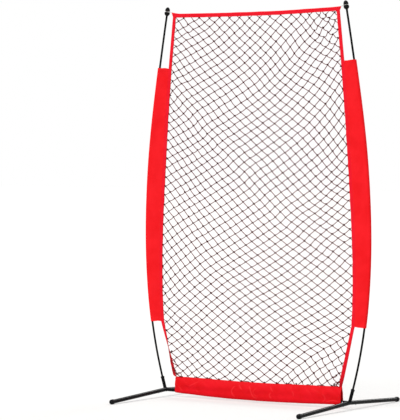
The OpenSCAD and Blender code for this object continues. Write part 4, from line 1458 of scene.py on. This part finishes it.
def makeWelds():
    for side in sides:
        sign = sides[side]
        hub = Vector((pole["hubX"], 0, pole["hubZ"]))
        a = math.radians(pole["lean"])
        upPole, acrossPole = Vector((math.sin(a), 0, math.cos(a))), Vector((math.cos(a), 0, -math.sin(a)))
        beads = [
            ("socket", weld["socket"], upPole, acrossPole),
            ("crossbar", weld["bar"], Vector((-1, 0, 0)), Vector((0, 0, 1))),
        ]
        for kind, tube, axis, one in beads:
            two = axis.cross(one)
            points, radii = [], []
            for k in range(weld["cuts"]):
                t = 2 * math.pi * k / weld["cuts"]
                rim = (one * math.cos(t) + two * math.sin(t)) * (tube + weld["proud"])
                near, far = 0.0, 0.03
                for _ in range(30):             # where the tube's side meets the foot tube's
                    mid = (near + far) / 2
                    spot = rim + axis * mid
                    drop = spot.z + abs(spot.y) * math.tan(footSlope)
                    if math.hypot(spot.x, drop) < weld["foot"] + weld["proud"]:
                        near = mid
                    else:
                        far = mid
                spot = hub + rim + axis * far
                points.append(Vector((sign * spot.x, spot.y, spot.z)))
                radii.append(weld["radius"] + weld["ripple"] * math.sin(t * weld["ripples"]))
            name = "weld_%s_%s" % (kind, side)
            roundCord(name, points, radii, powderCoat, closed=True, around=8)


makeWelds()
print("welds made")


# Floor and light

studio = {
    "size": 80,              # of the floor
    "floor": "#b3b3b1",
    "floorGlow": 0.46,       # brings the floor up to white where the camera sees it
    "sky": 0.62,             # how much it lights, while the camera sees it white
    # soft lamps far away, so that they light the whole floor alike: from, across in degrees, strength
    "lamps": {"key": ((-0.9, -4.6, 5.2), 34, 2.0), "back": ((0.0, 4.9, 3.45), 22, 1.2)},
}


def seenFlag(tree):  # 1 for what the camera, a reflection or a clear body sees
    rays = addNode(tree, "ShaderNodeLightPath").outputs
    seen = rays["Is Camera Ray"]
    for kind in ("Is Glossy Ray", "Is Transmission Ray"):
        either = addNode(tree, "ShaderNodeMath", {"operation": "MAXIMUM"}, {0: seen, 1: rays[kind]})
        seen = either.outputs["Value"]
    return seen


def makeFloor():
    deselectAll()
    bpy.ops.mesh.primitive_plane_add(size=studio["size"])
    floor = bpy.context.object
    floor.name = "floor"
    material = bpy.data.materials.new("paleFloor")
    material.use_nodes = True
    tree = material.node_tree
    tree.nodes.clear()
    paint = addNode(tree, "ShaderNodeBsdfDiffuse", {"Color": toLinear(studio["floor"])})
    glow = addNode(tree, "ShaderNodeEmission", {"Color": (1, 1, 1, 1), "Strength": studio["floorGlow"]})
    layers = {0: paint.outputs["BSDF"], 1: glow.outputs["Emission"]}
    both = addNode(tree, "ShaderNodeAddShader", links=layers)
    ways = {"Fac": seenFlag(tree), 1: paint.outputs["BSDF"], 2: both.outputs["Shader"]}
    shown = addNode(tree, "ShaderNodeMixShader", links=ways)
    addNode(tree, "ShaderNodeOutputMaterial", links={"Surface": shown.outputs["Shader"]})
    floor.data.materials.append(material)


def makeSky():
    world = bpy.data.worlds.new("studio")
    scene.world = world
    world.use_nodes = True
    tree = world.node_tree
    tree.nodes.clear()
    lit = addNode(tree, "ShaderNodeBackground", {"Color": (1, 1, 1, 1), "Strength": studio["sky"]})
    seen = addNode(tree, "ShaderNodeBackground", {"Color": (1, 1, 1, 1), "Strength": 1.0})
    ways = {"Fac": seenFlag(tree), 1: lit.outputs["Background"], 2: seen.outputs["Background"]}
    shown = addNode(tree, "ShaderNodeMixShader", links=ways)
    addNode(tree, "ShaderNodeOutputWorld", links={"Surface": shown.outputs["Shader"]})


def makeLamps():
    for name, (place, across, strength) in studio["lamps"].items():
        bpy.ops.object.light_add(type="SUN", location=place)
        light = bpy.context.object
        light.name = name
        light.data.angle = math.radians(across)
        light.data.energy = strength
        light.rotation_euler = Vector(place).to_track_quat("Z", "Y").to_euler()


makeFloor()
makeSky()
makeLamps()
scene.view_settings.view_transform = "Standard"
print("studio lit")
